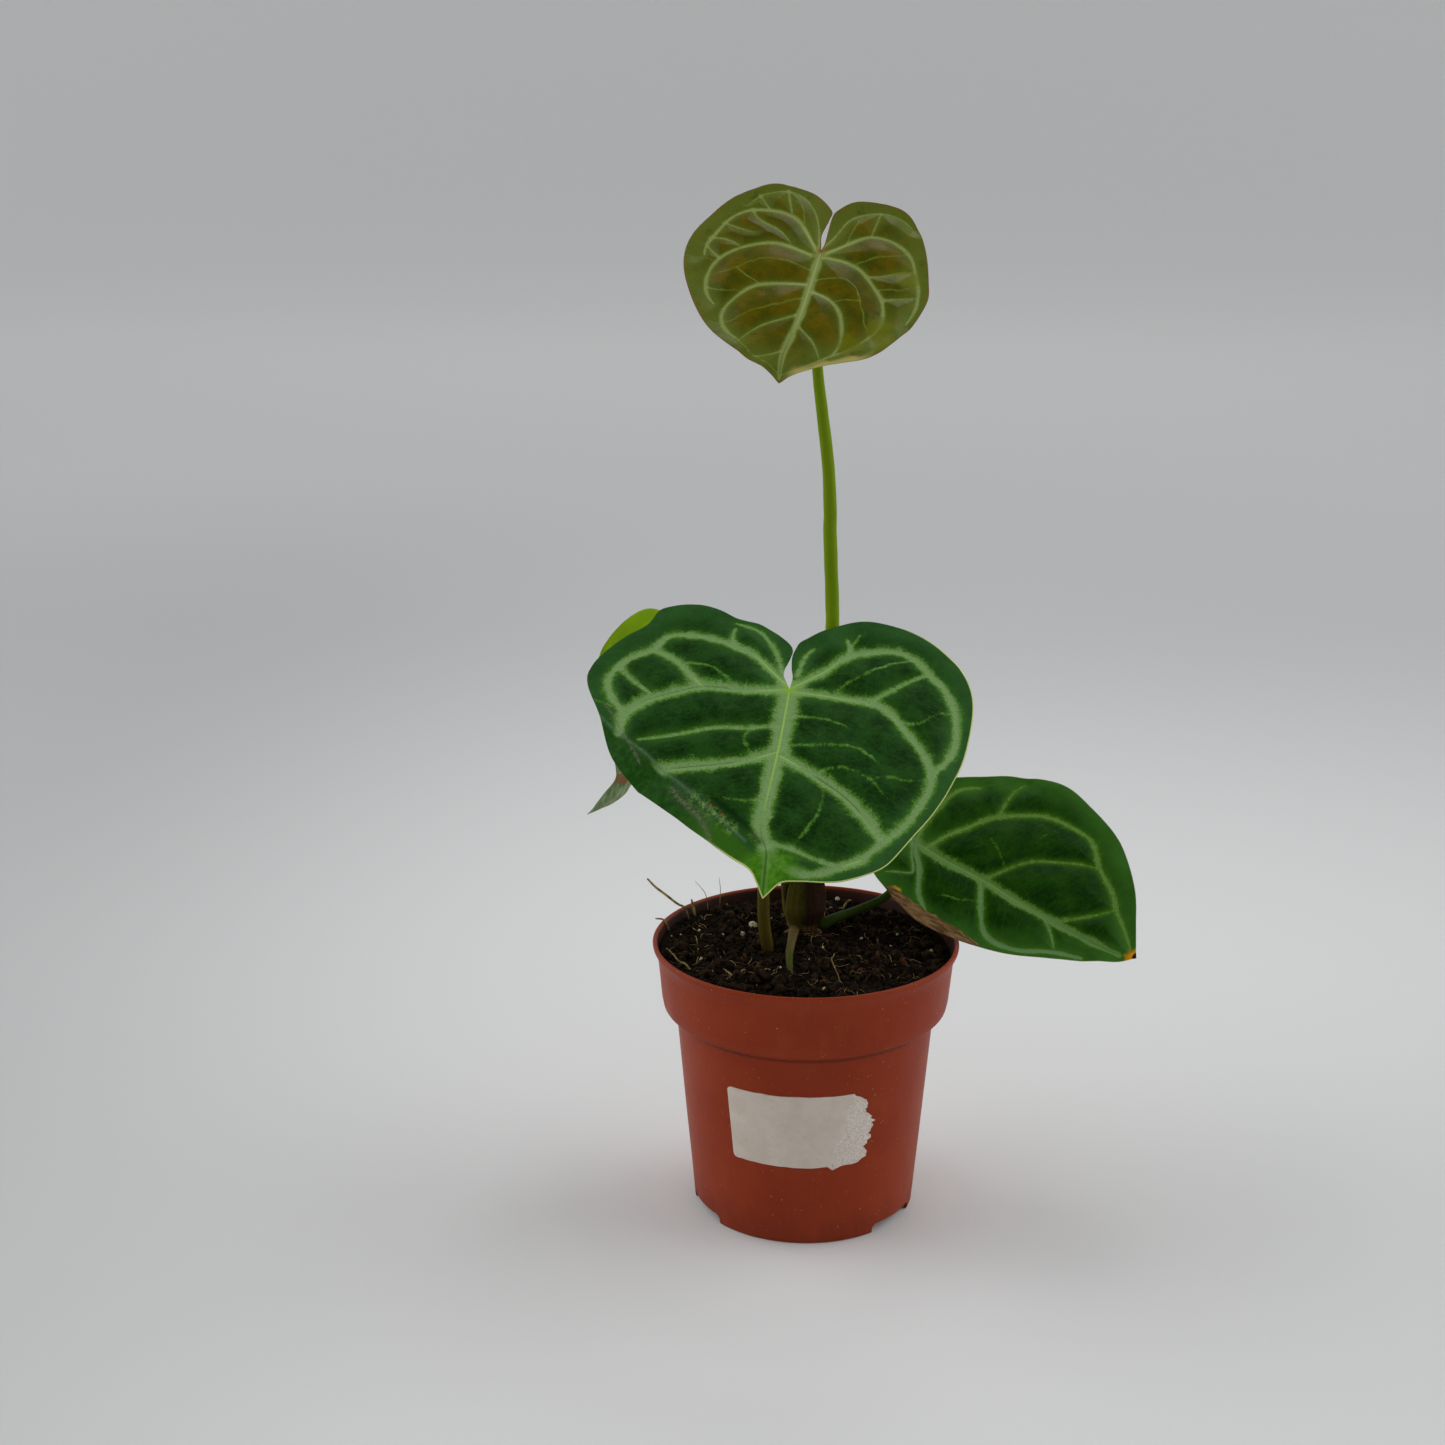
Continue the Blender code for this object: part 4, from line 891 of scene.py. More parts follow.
# %% Front leaf skin
def front_leaf_skin():
    """Dark green cells and wide silver bands, a dull strip past the fold and rust specks on it, painted
    highlights and painted shade along the crease, and a tip painted brighter.
    """
    skin, colour, lower = leaf_finish(
        "front", [(14, 46, 9), (34, 74, 24), (52, 96, 46), (80, 130, 38), (136, 168, 110), (150, 196, 92),
                  (190, 204, 116), (104, 130, 76), (140, 182, 62)], 0.42, shine=0.03)
    flat = skin.field("flat", "Vector")
    blotch = skin.noise(flat, 2.2, 4.0, 0.7)
    nick = skin.noise(flat, 0.9, 4.0, 0.7)
    beside = skin.parts(skin.field("rib", "Vector"))[0] + 0.6 * (nick - 0.5)
    folded = skin.coats(
        tint(22, 62, 8),
        (blotch.rise(0.35, 0.7), tint(38, 88, 16)),
        (skin.parts(flat)[1].rise(-56.0, -72.0) * 0.7, tint(58, 108, 18)))
    # The tip is painted a brighter green: partly its own colour and partly painted light, for the light
    # that the bent-down tip catches.
    tip_green = skin.coats(
        tint(58, 120, 14),
        (blotch.rise(0.35, 0.7), tint(94, 150, 34)),
        ((beside * beside).rise(3.2, 0.6) * 0.55, tint(112, 150, 74)),
        ((beside * beside).rise(0.30, 0.05) * 0.7, tint(44, 92, 14)))
    colour = skin.coats(
        colour,
        (skin.field("strip"), folded),
        # Painted highlight: a light line along the ridge of the crease.
        (skin.field("crease_highlight") * blotch.rise(0.2, 0.6) * 0.8, tint(84, 118, 80)),
        (skin.field("shade") * 0.7, tint(10, 36, 8)),
        (skin.field("haze") * nick.rise(0.36, 0.62) * 0.6, tint(70, 94, 66)),
        (skin.field("scar") * nick.rise(0.40, 0.56) * 0.8, tint(112, 112, 88)),
        # Painted highlight in patches on the lower crest of the fold.
        (skin.field("crest_highlight") * (blotch * 0.55 + nick * 0.45).rise(0.47, 0.60), tint(120, 156, 72)),
        (skin.field("tip"), tip_green),
        # Painted highlight on the lit part of the rim, over its own pale edge.
        (skin.field("margin").rise(0.5, 0.2) * skin.field("lit"), tint(196, 208, 120)),
        (skin.field("rust"), tint(132, 96, 52)))
    return two_sided(skin, colour, lower)


# %% Top leaf skin
def top_leaf_skin():
    """A young blade: olive bronze, glossy, with pale green veins and a red-brown rim."""
    skin, colour, lower = leaf_finish(
        "top", [(104, 90, 4), (68, 74, 8), (104, 122, 46), (104, 120, 34), (152, 162, 96), (160, 176, 104),
                (122, 84, 46), (126, 140, 62), (130, 96, 20)], 0.27, fray=0.6, net=0.0, halo=0.4)
    sooty = skin.noise(skin.field("flat", "Vector"), 7.0, 3.0, 0.6)
    colour = skin.coats(
        colour,
        (sooty.rise(0.55, 0.75) * skin.field("band").rise(0.3, 0.05) * 0.5, tint(52, 56, 14)),
        (skin.field("sun") * 0.7, tint(112, 116, 14)),
        (skin.field("tan") * 0.9, tint(184, 172, 98)))
    return two_sided(skin, colour, lower)


# %% Right leaf skin
def right_leaf_skin():
    """The older blade: near black green, yellower bands, a dead brown edge and a burnt tip."""
    skin, colour, lower = leaf_finish(
        "right", [(14, 48, 7), (32, 72, 10), (64, 114, 38), (66, 114, 18), (108, 144, 68), (118, 158, 72),
                  (96, 120, 60), (100, 126, 70), (112, 150, 88)], 0.40, fray=1.7, shine=0.04,
        rim_width=0.35, halo=0.6)
    flat = skin.field("flat", "Vector")
    streak = skin.noise(flat, 0.9, 4.0, 0.7, stretch=(1.0, 0.14, 1.0))
    frost = skin.noise(flat, 0.7, 3.0, 0.7)
    frosted = (skin.field("band") + 0.9 * (frost - 0.5)).rise(0.45, 0.85)
    blue = skin.parts(flat)[0].rise(4.0, -10.0) * frosted
    brown = skin.mix(streak.rise(0.35, 0.65), tint(80, 56, 36), tint(144, 114, 76))
    burnt = skin.field("burnt")
    dry = [(skin.field("dead").rise(0.40, 0.60), brown),
           (burnt.rise(0.05, 0.55), tint(214, 146, 20)),
           (burnt.rise(0.56, 0.66), tint(30, 18, 12))]
    colour = skin.coats(
        colour,
        (blue * 0.6, tint(112, 152, 106)),
        (skin.field("yellow"), tint(206, 166, 26)),
        *dry)
    return two_sided(skin, colour, skin.coats(lower, *dry))


# %% Back leaf skin
def back_leaf_skin():
    """The leaf that hangs away behind: the camera sees its pale green underside, painted bright
    yellow-green for the light that shines through the blade.
    """
    # The eighth shade, bright yellow-green, is painted light shining through the underside.
    skin, colour, lower = leaf_finish(
        "back", [(60, 92, 24), (72, 108, 28), (90, 126, 36), (92, 124, 40), (124, 152, 84), (140, 170, 96),
                 (120, 140, 60), (150, 192, 14), (120, 160, 60)], 0.42)
    streak = skin.noise(skin.field("flat", "Vector"), 1.4, 3.0, 0.6, stretch=(1.0, 0.2, 1.0))
    grey = skin.mix(streak.rise(0.35, 0.65), tint(108, 132, 88), tint(150, 170, 128))
    red = skin.field("red").rise(0.35, 0.65)
    colour = skin.mix(red, colour, tint(116, 76, 46))
    lower = skin.coats(lower, (skin.field("droop"), grey), (red * 0.8, tint(150, 100, 68)))
    return two_sided(skin, colour, lower)


# %% Marks on the flat blade
def jagged(u, v, size, seed):
    """The noise `rough` on flat places."""
    return rough(np.column_stack([u, v]), size, seed)


def spot(u, v, centre, radius, seed):
    """1 within a ragged round spot, 0 outside."""
    away = np.hypot(u - centre[0], v - centre[1]) + 0.25 * radius * jagged(u, v, 1.7, seed)
    return 1 - smooth(away, 0.6 * radius, 1.2 * radius)


def spots(u, v, centres, radius):
    """Several spots of one size."""
    return np.max([spot(u, v, centre, radius, k) for k, centre in enumerate(centres)], axis=0)


def mark(u, v, points, width):
    """e^-(distance/width)² from a line drawn through a few points."""
    return np.exp(-(nearest(np.column_stack([u, v]), curve(points, 40))[0] / width) ** 2)


def glow(u, v, reach):
    """e^-(distance/reach)² round the stalk's end."""
    return np.exp(-(u * u + v * v) / reach ** 2)


CREASE = [(-74, -12), (-52, -33), (-30, -55), (-8, -76)]
SCAR = [(-38, -51), (-33, -57), (-26, -64), (-21, -72)]
FOLD_SCAR = [(-68.4, -10.4), (-63.6, -17.3), (-58.5, -26), (-51, -38.6)]
# Line of the painted highlight on the lower crest of the fold.
CREST_HIGHLIGHT = [(-29, -56.5), (-24, -61), (-18, -66.5), (-13, -71)]
HAZE = [(-36, -52), (-29, -59), (-22, -66)]
CREASE_SHADE = [(-22, -57.5), (-15, -63.5), (-8, -70), (-3, -76)]
RUST = [(-17.6, -65.2), (-22.1, -61.2)]
SUNNY = [(20, -41), (30, -37), (33, -4), (28, -30)]
YELLOW = [(-24.2, -5.4), (-28.2, -50.5)]
BURNT_REACH = 5.6
RED = (6.2, -64.5)
DEAD_V = (-49, -44, -36, -29, -19.4, -9.7, -2.2, 2)        # along the dead edge
DEAD_U = (-30, -25.6, -25.7, -25.3, -24.2, -23.4, -23.2, -27)    # and how far in it reaches


# %% Zones of each leaf
def front_zones(u, v, margin):
    """Marks of the large blade: its fold with scars and haze, painted highlights and painted shade along
    its crease, a tip painted brighter green, a painted highlight on its lit rim, and rust specks.
    """
    return dict(
        star=glow(u, v, 2.6),
        # the lit zone: where the rim gets its painted highlight, on the right side and at the tip
        lit=smooth(u - 0.6 * v, 15, 40),
        tip=smooth(-v - 0.15 * np.abs(u), 78, 82) * (1 - smooth(np.abs(u - 1), 5, 13)) * 0.85,
        crest_highlight=mark(u, v, CREST_HIGHLIGHT, 1.9),
        haze=mark(u, v, HAZE, 2.6),
        shade=mark(u, v, CREASE_SHADE, 1.3),
        strip=smooth(-0.70 * (u + 74) - 0.72 * (v + 12), 0.3, 1.8),
        # painted highlight along the ridge of the crease
        crease_highlight=mark(u, v, CREASE, 0.6),
        scar=np.maximum(mark(u, v, SCAR, 0.7), mark(u, v, FOLD_SCAR, 0.45)),
        rust=0.8 * spots(u, v, RUST, 0.7))


def top_zones(u, v, margin):
    """Marks of the top blade: sunlit spots, and a tan rim on the right of its tip."""
    rim = 1 - smooth(margin + 0.8 * jagged(u, v, 2.5, 3), 0.6, 3.0)
    return dict(
        star=glow(u, v, 1.5),
        lit=np.ones_like(u),
        sun=spots(u, v, SUNNY, 5.0),
        tan=rim * smooth(u, 0, 5) * (1 - smooth(u, 24, 31)) * smooth(-v, 36, 44))


def right_zones(u, v, margin):
    """Marks of the right blade: a dead edge with yellow at its ends, and a burnt tip."""
    inside_edge = u - np.interp(v, DEAD_V, DEAD_U) - 0.6 * jagged(u, v, 2.0, 5)
    from_tip = np.hypot(u - 1, v + 99) + 0.8 * jagged(u, v, 1.6, 8)
    return dict(
        star=glow(u, v, 2.2),
        lit=np.ones_like(u),
        dead=(u < -12) * np.clip(0.5 - 0.8 * inside_edge, 0, 1),
        yellow=spots(u, v, YELLOW, 2.2),
        burnt=1 - np.clip(from_tip / BURNT_REACH, 0, 1))


def back_zones(u, v, margin):
    """Marks of the back blade: its grey drooping end and one red-brown spot."""
    return dict(
        star=glow(u, v, 2.0),
        lit=np.ones_like(u),
        droop=smooth(-v, 40, 58),
        red=spot(u, v, RED, 3.6, 12))


# %% Make the leaves
make_leaf("front", front_leaf_skin(), 281, 115, 1.0, 11, front_zones)
make_leaf("top", top_leaf_skin(), 241, 101, 0.45, 23, top_zones)
make_leaf("right", right_leaf_skin(), 251, 105, 0.62, 37, right_zones)
make_leaf("back", back_leaf_skin(), 171, 71, 0.7, 41, back_zones)

# %% [markdown]
# Stalks and root
#
# A stalk is round, a little thicker at its foot and at the joint under the blade, where the leaf
# turns itself to the light. It could be a bevelled curve, but a ring carried along the same points
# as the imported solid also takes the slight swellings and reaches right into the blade.


# %% Stalks
def stalk_finish(name, top, foot, joint, low, high, flecks):
    """Stem skin from foot to joint, with lengthwise streaks and fine flecks."""
    top, foot, joint, flecks = (tint(*shade) for shade in (top, foot, joint, flecks))
    skin = Finish("stalk_" + name, Specular_IOR_Level=0.06)
    at = skin.place()
    streak = skin.noise(at, 0.8, 3.0, 0.6, stretch=(1.0, 1.0, 0.06))
    cloud = skin.noise(at, 6.0, 3.0, 0.6, stretch=(1.0, 1.0, 0.35))
    fleck = skin.noise(at, 0.55, 2.0, 0.5)
    skin.feed("Base Color", skin.coats(
        foot,
        (skin.parts(at)[2].rise(low, high), top),
        (cloud.rise(0.35, 0.7) * 0.45, joint),
        (streak.rise(0.35, 0.75) * 0.35, foot),
        (fleck.rise(0.66, 0.74) * 0.6, flecks)))
    skin.feed("Roughness", 0.34 + 0.2 * cloud)
    skin.bump(streak * 0.7 + fleck * 0.3, 0.10)
    return skin


STALKS = {
    "top": ([(3, 20, 112, 3.4), (5.5, 21, 150, 3.0), (8, 21, 195, 2.7), (9, 18.5, 232.5, 2.7),
             (7.8, 16, 264.5, 2.6), (7, 12, 291, 2.4), (4.2, 8.5, 315.5, 2.2), (2.2, 7, 332, 2.05),
             (1.5, 8, 350, 2.1), (2, 11, 363, 2.3)],
            stalk_finish("top", (112, 134, 18), (108, 140, 4), (114, 142, 8), 130, 350, (70, 84, 14)),
            "stalk_top_skin"),
    "front": ([(-14.5, -2.5, 97, 2.5), (-15, -3.2, 107, 2.4), (-16.5, -4.5, 122, 2.3),
               (-16, -7, 150, 2.2), (-12, -10.5, 185, 2.2), (-8.5, -14, 204, 2.3)],
              stalk_finish("front", (78, 70, 22), (60, 52, 20), (84, 58, 26), 104, 118, (44, 28, 14)),
              "stalk_front_skin"),
    "right": ([(6.7, 17.0, 109.1, 2.3), (12.2, 19, 111.4, 2.0), (22.4, 24.6, 113.4, 1.7),
               (32.6, 27.8, 117.8, 1.7), (39.5, 33, 126, 1.8), (43.2, 36, 132.5, 2.0)],
              stalk_finish("right", (62, 84, 20), (34, 44, 14), (50, 68, 18), 108, 118, (40, 40, 16)),
              "stalk_side_skin"),
    "back": ([(-6, 22.5, 112, 2.6), (-8, 27, 130, 2.3), (-13, 34, 152, 2.1), (-25, 39.5, 178, 2.0),
              (-41, 45.5, 198, 2.0), (-51, 47, 204, 2.1)],
             stalk_finish("back", (90, 116, 30), (64, 74, 24), (84, 104, 30), 110, 190, (56, 50, 20)),
             "stalk_side_skin"),
}
NECK = 4.45                 # below its blade a stalk turns square to it
BLADE_GAP = 0.5             # from the stalk's round end to the blade's upper side
ROUND_END = 1.12            # reach of that end past the last ring, in radii
JOINT_SWELL = 0.13
JOINT_PLACE = 5.0           # how far below the blade the swelling is thickest
JOINT_LENGTH = 9.0
STEM_STEP = 0.9


def make_stalk(name, points, finish, slot):
    """Ring carried along the stalk: its radius grows by swell e^-((away - place) / length)², with
    `away` the distance to the blade, and by a slow roughness."""
    leaf = LEAVES[name]
    normal = blade_frame(leaf)[:, 2]
    radius = points[-1][3]
    joint = np.array(leaf["junction"])
    ends = [(*(joint - normal * depth), radius) for depth in (NECK, ROUND_END * radius + BLADE_GAP)]
    length = np.linalg.norm(np.diff(np.array(points + ends)[:, :3], axis=0), axis=1).sum()
    line = curve(points + ends, int(length / STEM_STEP))
    away = np.linalg.norm(line[:, :3] - joint, axis=1)
    swelling = JOINT_SWELL * np.exp(-((away - JOINT_PLACE) / JOINT_LENGTH) ** 2)
    line[:, 3] *= 1 + swelling + 0.02 * rough(line[:, :3], 14.0, 5)
    swell = lambda grid: 0.035 * rough(grid * (1, 1, 0.3), 1.6, 9) + 0.03 * rough(grid, 5.0, 2)
    grid, triangles = tube(line, 28, swell=swell)
    build("stem_" + name, grid, triangles, finish, slot, ("stalk_" + name,))


for stalk_name, (stalk_points, stalk_skin, stalk_slot) in STALKS.items():
    make_stalk(stalk_name, stalk_points, stalk_skin, stalk_slot)


# %% Root
def root_skin():
    """Thick root: tan cork on its upper half, green where it is young, with cross cracks, and painted shade
    where it goes in under the crown.
    """
    skin = Finish("root_skin", Specular_IOR_Level=0.12)
    at = skin.place()
    backward = skin.parts(at)[1]
    cloud = skin.noise(at, 3.0, 4.0, 0.65)
    ring = skin.noise(at, 1.1, 3.0, 0.7, stretch=(0.5, 1.6, 0.5))
    skin.feed("Base Color", skin.coats(
        tint(58, 66, 8),
        ((cloud + (backward + 10.0) * 0.05).rise(0.2, 0.9), tint(94, 80, 40)),
        # Painted shade: darker where the root goes in under the crown.
        (backward.rise(8.0, 12.0), tint(40, 28, 16)),
        (ring.rise(0.58, 0.72) * 0.7, tint(58, 40, 20))))
    skin.feed("Roughness", 0.5 + 0.25 * cloud)
    skin.bump(ring, 0.35)
    return skin


ROOT = [(-3.9, 14.6, 109.8, 2.0), (-4.4, 11.8, 109.4, 2.0), (-5.4, 2.5, 108.4, 1.75),
        (-6.2, -7, 107.5, 1.55), (-6.3, -15.4, 106.8, 1.4), (-5.9, -22.5, 105.7, 1.3),
        (-5.2, -27, 103.6, 1.1)]
root_line = curve(ROOT, 70)
root_grid, root_triangles = tube(root_line, 24, across=(1.0, 0.0, 0.2),
                                 swell=lambda grid: 0.08 * rough(grid, 2.2, 4) + 0.05 * rough(grid, 0.9, 6))
build("thick_root", root_grid, root_triangles, root_skin(), "root_skin", ("aerial_root",))

# %% [markdown]
# Crown
#
# The crown is the plant's short stem: a ringed brown-green stump. Each old leaf leaves a papery
# sheath round it, tan at its torn edge. The stump is turned and roughened; a sheath is a curved
# strip that narrows to a point and leans away from the stump.

# %% Crown
CROWN = (-1.0, 18.0)
CROWN_RADIUS = 7.6
CROWN_TOP = 119.5
CROWN_DEPTH = 97.0
CROWN_PROFILE = [(0, 0), (0.3, -0.1), (0.55, 0), (0.86, 2.5), (0.85, 6), (0.72, 9.5), (0.80, 11),
                 (0.72, 12.5), (0.95, 15)]      # share of the radius, and how far below the top
SHEATH_FOOT = 108.7
SHEATH_THICK = 0.42
SHEATHS = [(-105, 17, 50, 0), (10, 28, 62, 1.2), (150, 18, 55, 0)]   # direction, length, half width, lean


def crown_skin():
    """Olive stump with tan rings, and sheaths that dry from brown to straw at their edge."""
    skin = Finish("crown_skin", Specular_IOR_Level=0.12)
    at = skin.place()
    fibre = skin.noise(at, 0.7, 4.0, 0.7, stretch=(1.0, 1.0, 0.12))
    cloud = skin.noise(at, 4.0, 4.0, 0.65)
    ring = skin.noise(at, 1.3, 3.0, 0.7, stretch=(0.15, 0.15, 1.0))
    dry = skin.field("dry")
    x, _, z = skin.parts(at)
    skin.feed("Base Color", skin.coats(
        tint(42, 24, 10),
        ((cloud * 6.0 - x).rise(1.5, 6.5), tint(70, 66, 10)),
        (z.rise(111.5, 108.5) * cloud.rise(0.35, 0.55), tint(112, 84, 46)),
        (ring.rise(0.55, 0.7) * 0.5, tint(56, 38, 20)),
        ((dry + (fibre - 0.5) * 0.5).rise(0.62, 1.05) * 0.6, tint(104, 78, 44)),
        (fibre.rise(0.52, 0.72) * 0.6, tint(18, 11, 6))))
    skin.feed("Roughness", 0.55 + 0.25 * fibre)
    skin.bump(fibre * 0.6 + ring * 0.4, 0.35)
    return skin


def make_crown():
    """Stump and sheaths as closed shells in one piece."""
    outline = [(CROWN_RADIUS * share, CROWN_TOP - drop) for share, drop in CROWN_PROFILE]
    profile = curve(outline + [(CROWN_RADIUS * 0.6, CROWN_DEPTH), (0, CROWN_DEPTH)], 90)
    profile[:, 0] = np.maximum(profile[:, 0], 0)
    profile[[0, -1], 0] = 0
    grid, triangles = lathe(profile, 110)
    out = grid * (1, 1, 0)
    bumps = 0.06 * layers(grid * (1, 1, 1.6), 2.4, 3, 3) + 0.05 * np.sin(grid[..., 2] * 2.4)
    grid = grid + out * bumps[..., None] + (*CROWN, 0)
    parts = [(grid, triangles)]
    dry = [np.zeros(grid.size // 3)]
    for k, (direction, length, half_width, lean) in enumerate(SHEATHS):
        b, a = np.meshgrid(np.linspace(0, 1, 61), np.linspace(-1, 1, 57), indexing="ij")
        ragged = length * (1 + 0.07 * rough(np.stack([a * 6, 0 * a + k], -1), 1.0, 8) * b)
        narrow = np.sqrt(np.clip(1 - b ** 2.1, 0, 1))
        angle = np.radians(direction + half_width * a * narrow)
        height = ragged * b
        radius = CROWN_RADIUS * (0.80 + 0.22 * smooth(height, 0, 8)) + 0.4
        radius = radius + lean * np.minimum(height / 9, 1) + 0.0016 * height ** 2.2
        radius = radius + 0.22 * layers(np.stack([a * 9, b * 2.0 + 5 * k], -1), 1.0, 2, 5)
        sheets = []
        for inset in (0.0, SHEATH_THICK):
            r = radius - inset
            sheets.append(np.stack([CROWN[0] + r * np.sin(angle), CROWN[1] - r * np.cos(angle),
                                    SHEATH_FOOT + height], -1))
        parts.append(slab(sheets[0][:, ::-1], sheets[1][::2, ::-1][:, ::2]))
        edge = np.clip(np.maximum(b ** 2, np.abs(a) ** 6 * 0.9), 0, 1)[:, ::-1]
        dry.append(np.concatenate([edge.ravel(), edge[::2, ::2].ravel()]))
    points, triangles = joined(parts)
    build("crown_stump", points, triangles, crown_skin(), "crown_skin", ("crown",),
          dict(dry=np.concatenate(dry)))


make_crown()

# %% [markdown]
# Potting mix
#
# The mix is dark peat with crumbs, fibres, bark chips and white perlite. A disc with noise alone
# looks like asphalt, so the surface is a lumpy height field and real crumbs, chips and threads are
# sunk into it by a seeded draw. A square grid is bent into a disc, which keeps its cells even.

# %% Mix surface
MIX_EDGE = 105.3
MIX_TILT = (-1.3, 0.2)      # how much higher it lies at the wall on +X and on +Y
MIX_REACH = 56.5
MIX_MOUND = 0.8
MIX_RADIUS = 57.0
MIX_WALLS = [(55.0, 90.0), (48.9, 80.0), (42.8, 6.0), (0.0, 6.0)]     # radius and height, going down
MIX_CELLS = 220
draw = np.random.default_rng(5)


def mix_height(x, y):
    """Level that tilts a little and mounds up, plus lumps: a sum of noises, with their folded form
    for crumbs."""
    at = np.stack([x, y], -1)
    r = np.hypot(x, y) / MIX_REACH
    level = MIX_EDGE + (MIX_TILT[0] * x + MIX_TILT[1] * y) / MIX_REACH + MIX_MOUND * (1 - r * r)
    lumps = 1.5 * rough(at, 7.5, 3) + 1.1 * rough(at, 3.6, 4)
    crumbs = 0.9 * (0.5 - np.abs(rough(at, 2.3, 5))) + 0.5 * (0.5 - np.abs(rough(at, 1.2, 6)))
    return level + (lumps + crumbs) * np.clip(6 * (1.02 - r), 0.25, 1)


def peat(name, dark, light, size, fleck):
    """Damp fibrous peat: dark with brown crumbs and a few pale specks."""
    skin = Finish(name, Specular_IOR_Level=0.05)
    at = skin.place()
    crumb = skin.noise(at, size, 5.0, 0.7)
    grit = skin.cells(at, 0.9)
    speck = skin.noise(at, 0.5, 2.0, 0.5)
    skin.feed("Base Color", skin.coats(
        dark,
        (crumb.rise(0.38, 0.68), light),
        (speck.rise(0.70, 0.76), fleck)))
    skin.feed("Roughness", 0.78 + 0.2 * crumb)
    skin.bump(crumb * 0.6 + grit * 0.4, 0.9)
    return skin


def make_mix():
    """Grid (a, b) in -1..1 bent to a disc: the larger of |a|, |b| is the radius, and the other one
    over it, times 45 degrees, is the turn. Four rings carry its border down the pot's inside to
    the middle of its floor."""
    steps = np.linspace(-1, 1, MIX_CELLS + 1)
    a, b = np.meshgrid(-steps, steps, indexing="ij")
    wide = np.abs(a) > np.abs(b)
    r = np.where(wide, a, b)
    safe = np.where(r == 0, 1.0, r)
    turn = np.where(wide, pi / 4 * b / safe, pi / 2 - pi / 4 * a / safe)
    x, y = MIX_RADIUS * r * np.cos(turn), MIX_RADIUS * r * np.sin(turn)
    top = np.stack([x, y, mix_height(x, y)], -1)
    count = top.size // 3
    ring = border(np.arange(count).reshape(top.shape[:2]))
    rim = top.reshape(-1, 3)[ring] / (MIX_RADIUS, MIX_RADIUS, 1)
    walls = [rim * (r, r, 0) + (0, 0, z) for r, z in MIX_WALLS]
    numbers = count + np.arange(len(walls) * len(ring)).reshape(len(walls), len(ring))
    side = stitched(np.vstack([ring, numbers]), wrap=True)
    surface = weave(MIX_CELLS + 1, MIX_CELLS + 1)
    corners = top.reshape(-1, 3)[surface[0]]
    if np.cross(corners[1] - corners[0], corners[2] - corners[0])[2] > 0:
        side = side[:, ::-1]
        surface = surface[:, ::-1]
    points = np.vstack([top.reshape(-1, 3)] + walls)
    skin = peat("peat", tint(8, 6, 4), tint(34, 24, 15), 2.6, tint(96, 80, 58))
    build("peat", points, np.concatenate([surface, side]), skin, "mix", ("potting_mix",))


make_mix()


# %% Balls
def icosahedron():
    """Twelve points (0, ±1, ±golden) turned round the axes, and the twenty triples whose points are
    an edge apart."""
    golden = (1 + 5 ** 0.5) / 2
    corners = np.array([np.roll((0, y, z), k)
                        for k in range(3) for y in (-1, 1) for z in (-golden, golden)])
    triples = [t for t in itertools.combinations(range(12), 3)
               if all(abs(np.linalg.norm(corners[i] - corners[j]) - 2) < 0.01
                      for i, j in itertools.combinations(t, 2))]
    faces = np.array([t if np.linalg.det(corners[list(t)]) > 0 else t[::-1] for t in triples])
    return corners / np.linalg.norm(corners[0]), faces


def split(points, faces):
    """Each triangle made four, with the new points on the unit ball."""
    mids = [(points[faces[:, i]] + points[faces[:, j]]) / 2 for i, j in ((0, 1), (1, 2), (2, 0))]
    count, n = len(points), len(faces)
    ab, bc, ca = (count + k * n + np.arange(n) for k in range(3))
    a, b, c = faces.T
    tip_green = np.concatenate([np.stack(t, -1) for t in ((a, ab, ca), (ab, b, bc), (ca, bc, c), (ab, bc, ca))])
    points = np.vstack([points] + mids)
    points /= np.linalg.norm(points, axis=1, keepdims=True)
    _, chosen, merged = np.unique(np.round(points, 5), axis=0, return_index=True, return_inverse=True)
    return points[chosen], merged.reshape(-1)[tip_green]


BALL = icosahedron()
PEBBLE = split(*BALL)
print("triangles of a ball and a pebble:", len(BALL[1]), len(PEBBLE[1]))


# %% Places and turns
def turns(count):
    """Turning matrices from random unit quaternions."""
    w, x, y, z = (q := draw.normal(size=(4, count))) / np.linalg.norm(q, axis=0)
    return np.stack([np.stack([1 - 2 * (y * y + z * z), 2 * (x * y - z * w), 2 * (x * z + y * w)], -1),
                     np.stack([2 * (x * y + z * w), 1 - 2 * (x * x + z * z), 2 * (y * z - x * w)], -1),
                     np.stack([2 * (x * z - y * w), 2 * (y * z + x * w), 1 - 2 * (x * x + y * y)], -1)], 1)


def scatter(shape, places, sizes, ragged):
    """Copies of a ball at places, each stretched by its own sizes, roughened and turned."""
    points, faces = shape
    copies = points[None] * sizes[:, None]
    copies = copies * (1 + ragged * rough(points[None] * 1.7 + places[:, None] * 3.1, 1.0, 6))[..., None]
    copies = np.einsum("nij,nvj->nvi", turns(len(places)), copies) + places[:, None]
    index = faces[None] + (np.arange(len(places)) * len(points))[:, None, None]
    return copies.reshape(-1, 3), index.reshape(-1, 3)


PLACE_REACH = 55.0          # mix between the pot's walls
FRONT_STALK = (-14.8, -2.8)             # where it enters the mix
STALK_CLEAR = 3.6
CROWN_CLEAR = 2.0
ROOT_X = (-8.7, -2.3)                   # the strip that the root lies in
ROOT_Y = (-28.0, 12.0)


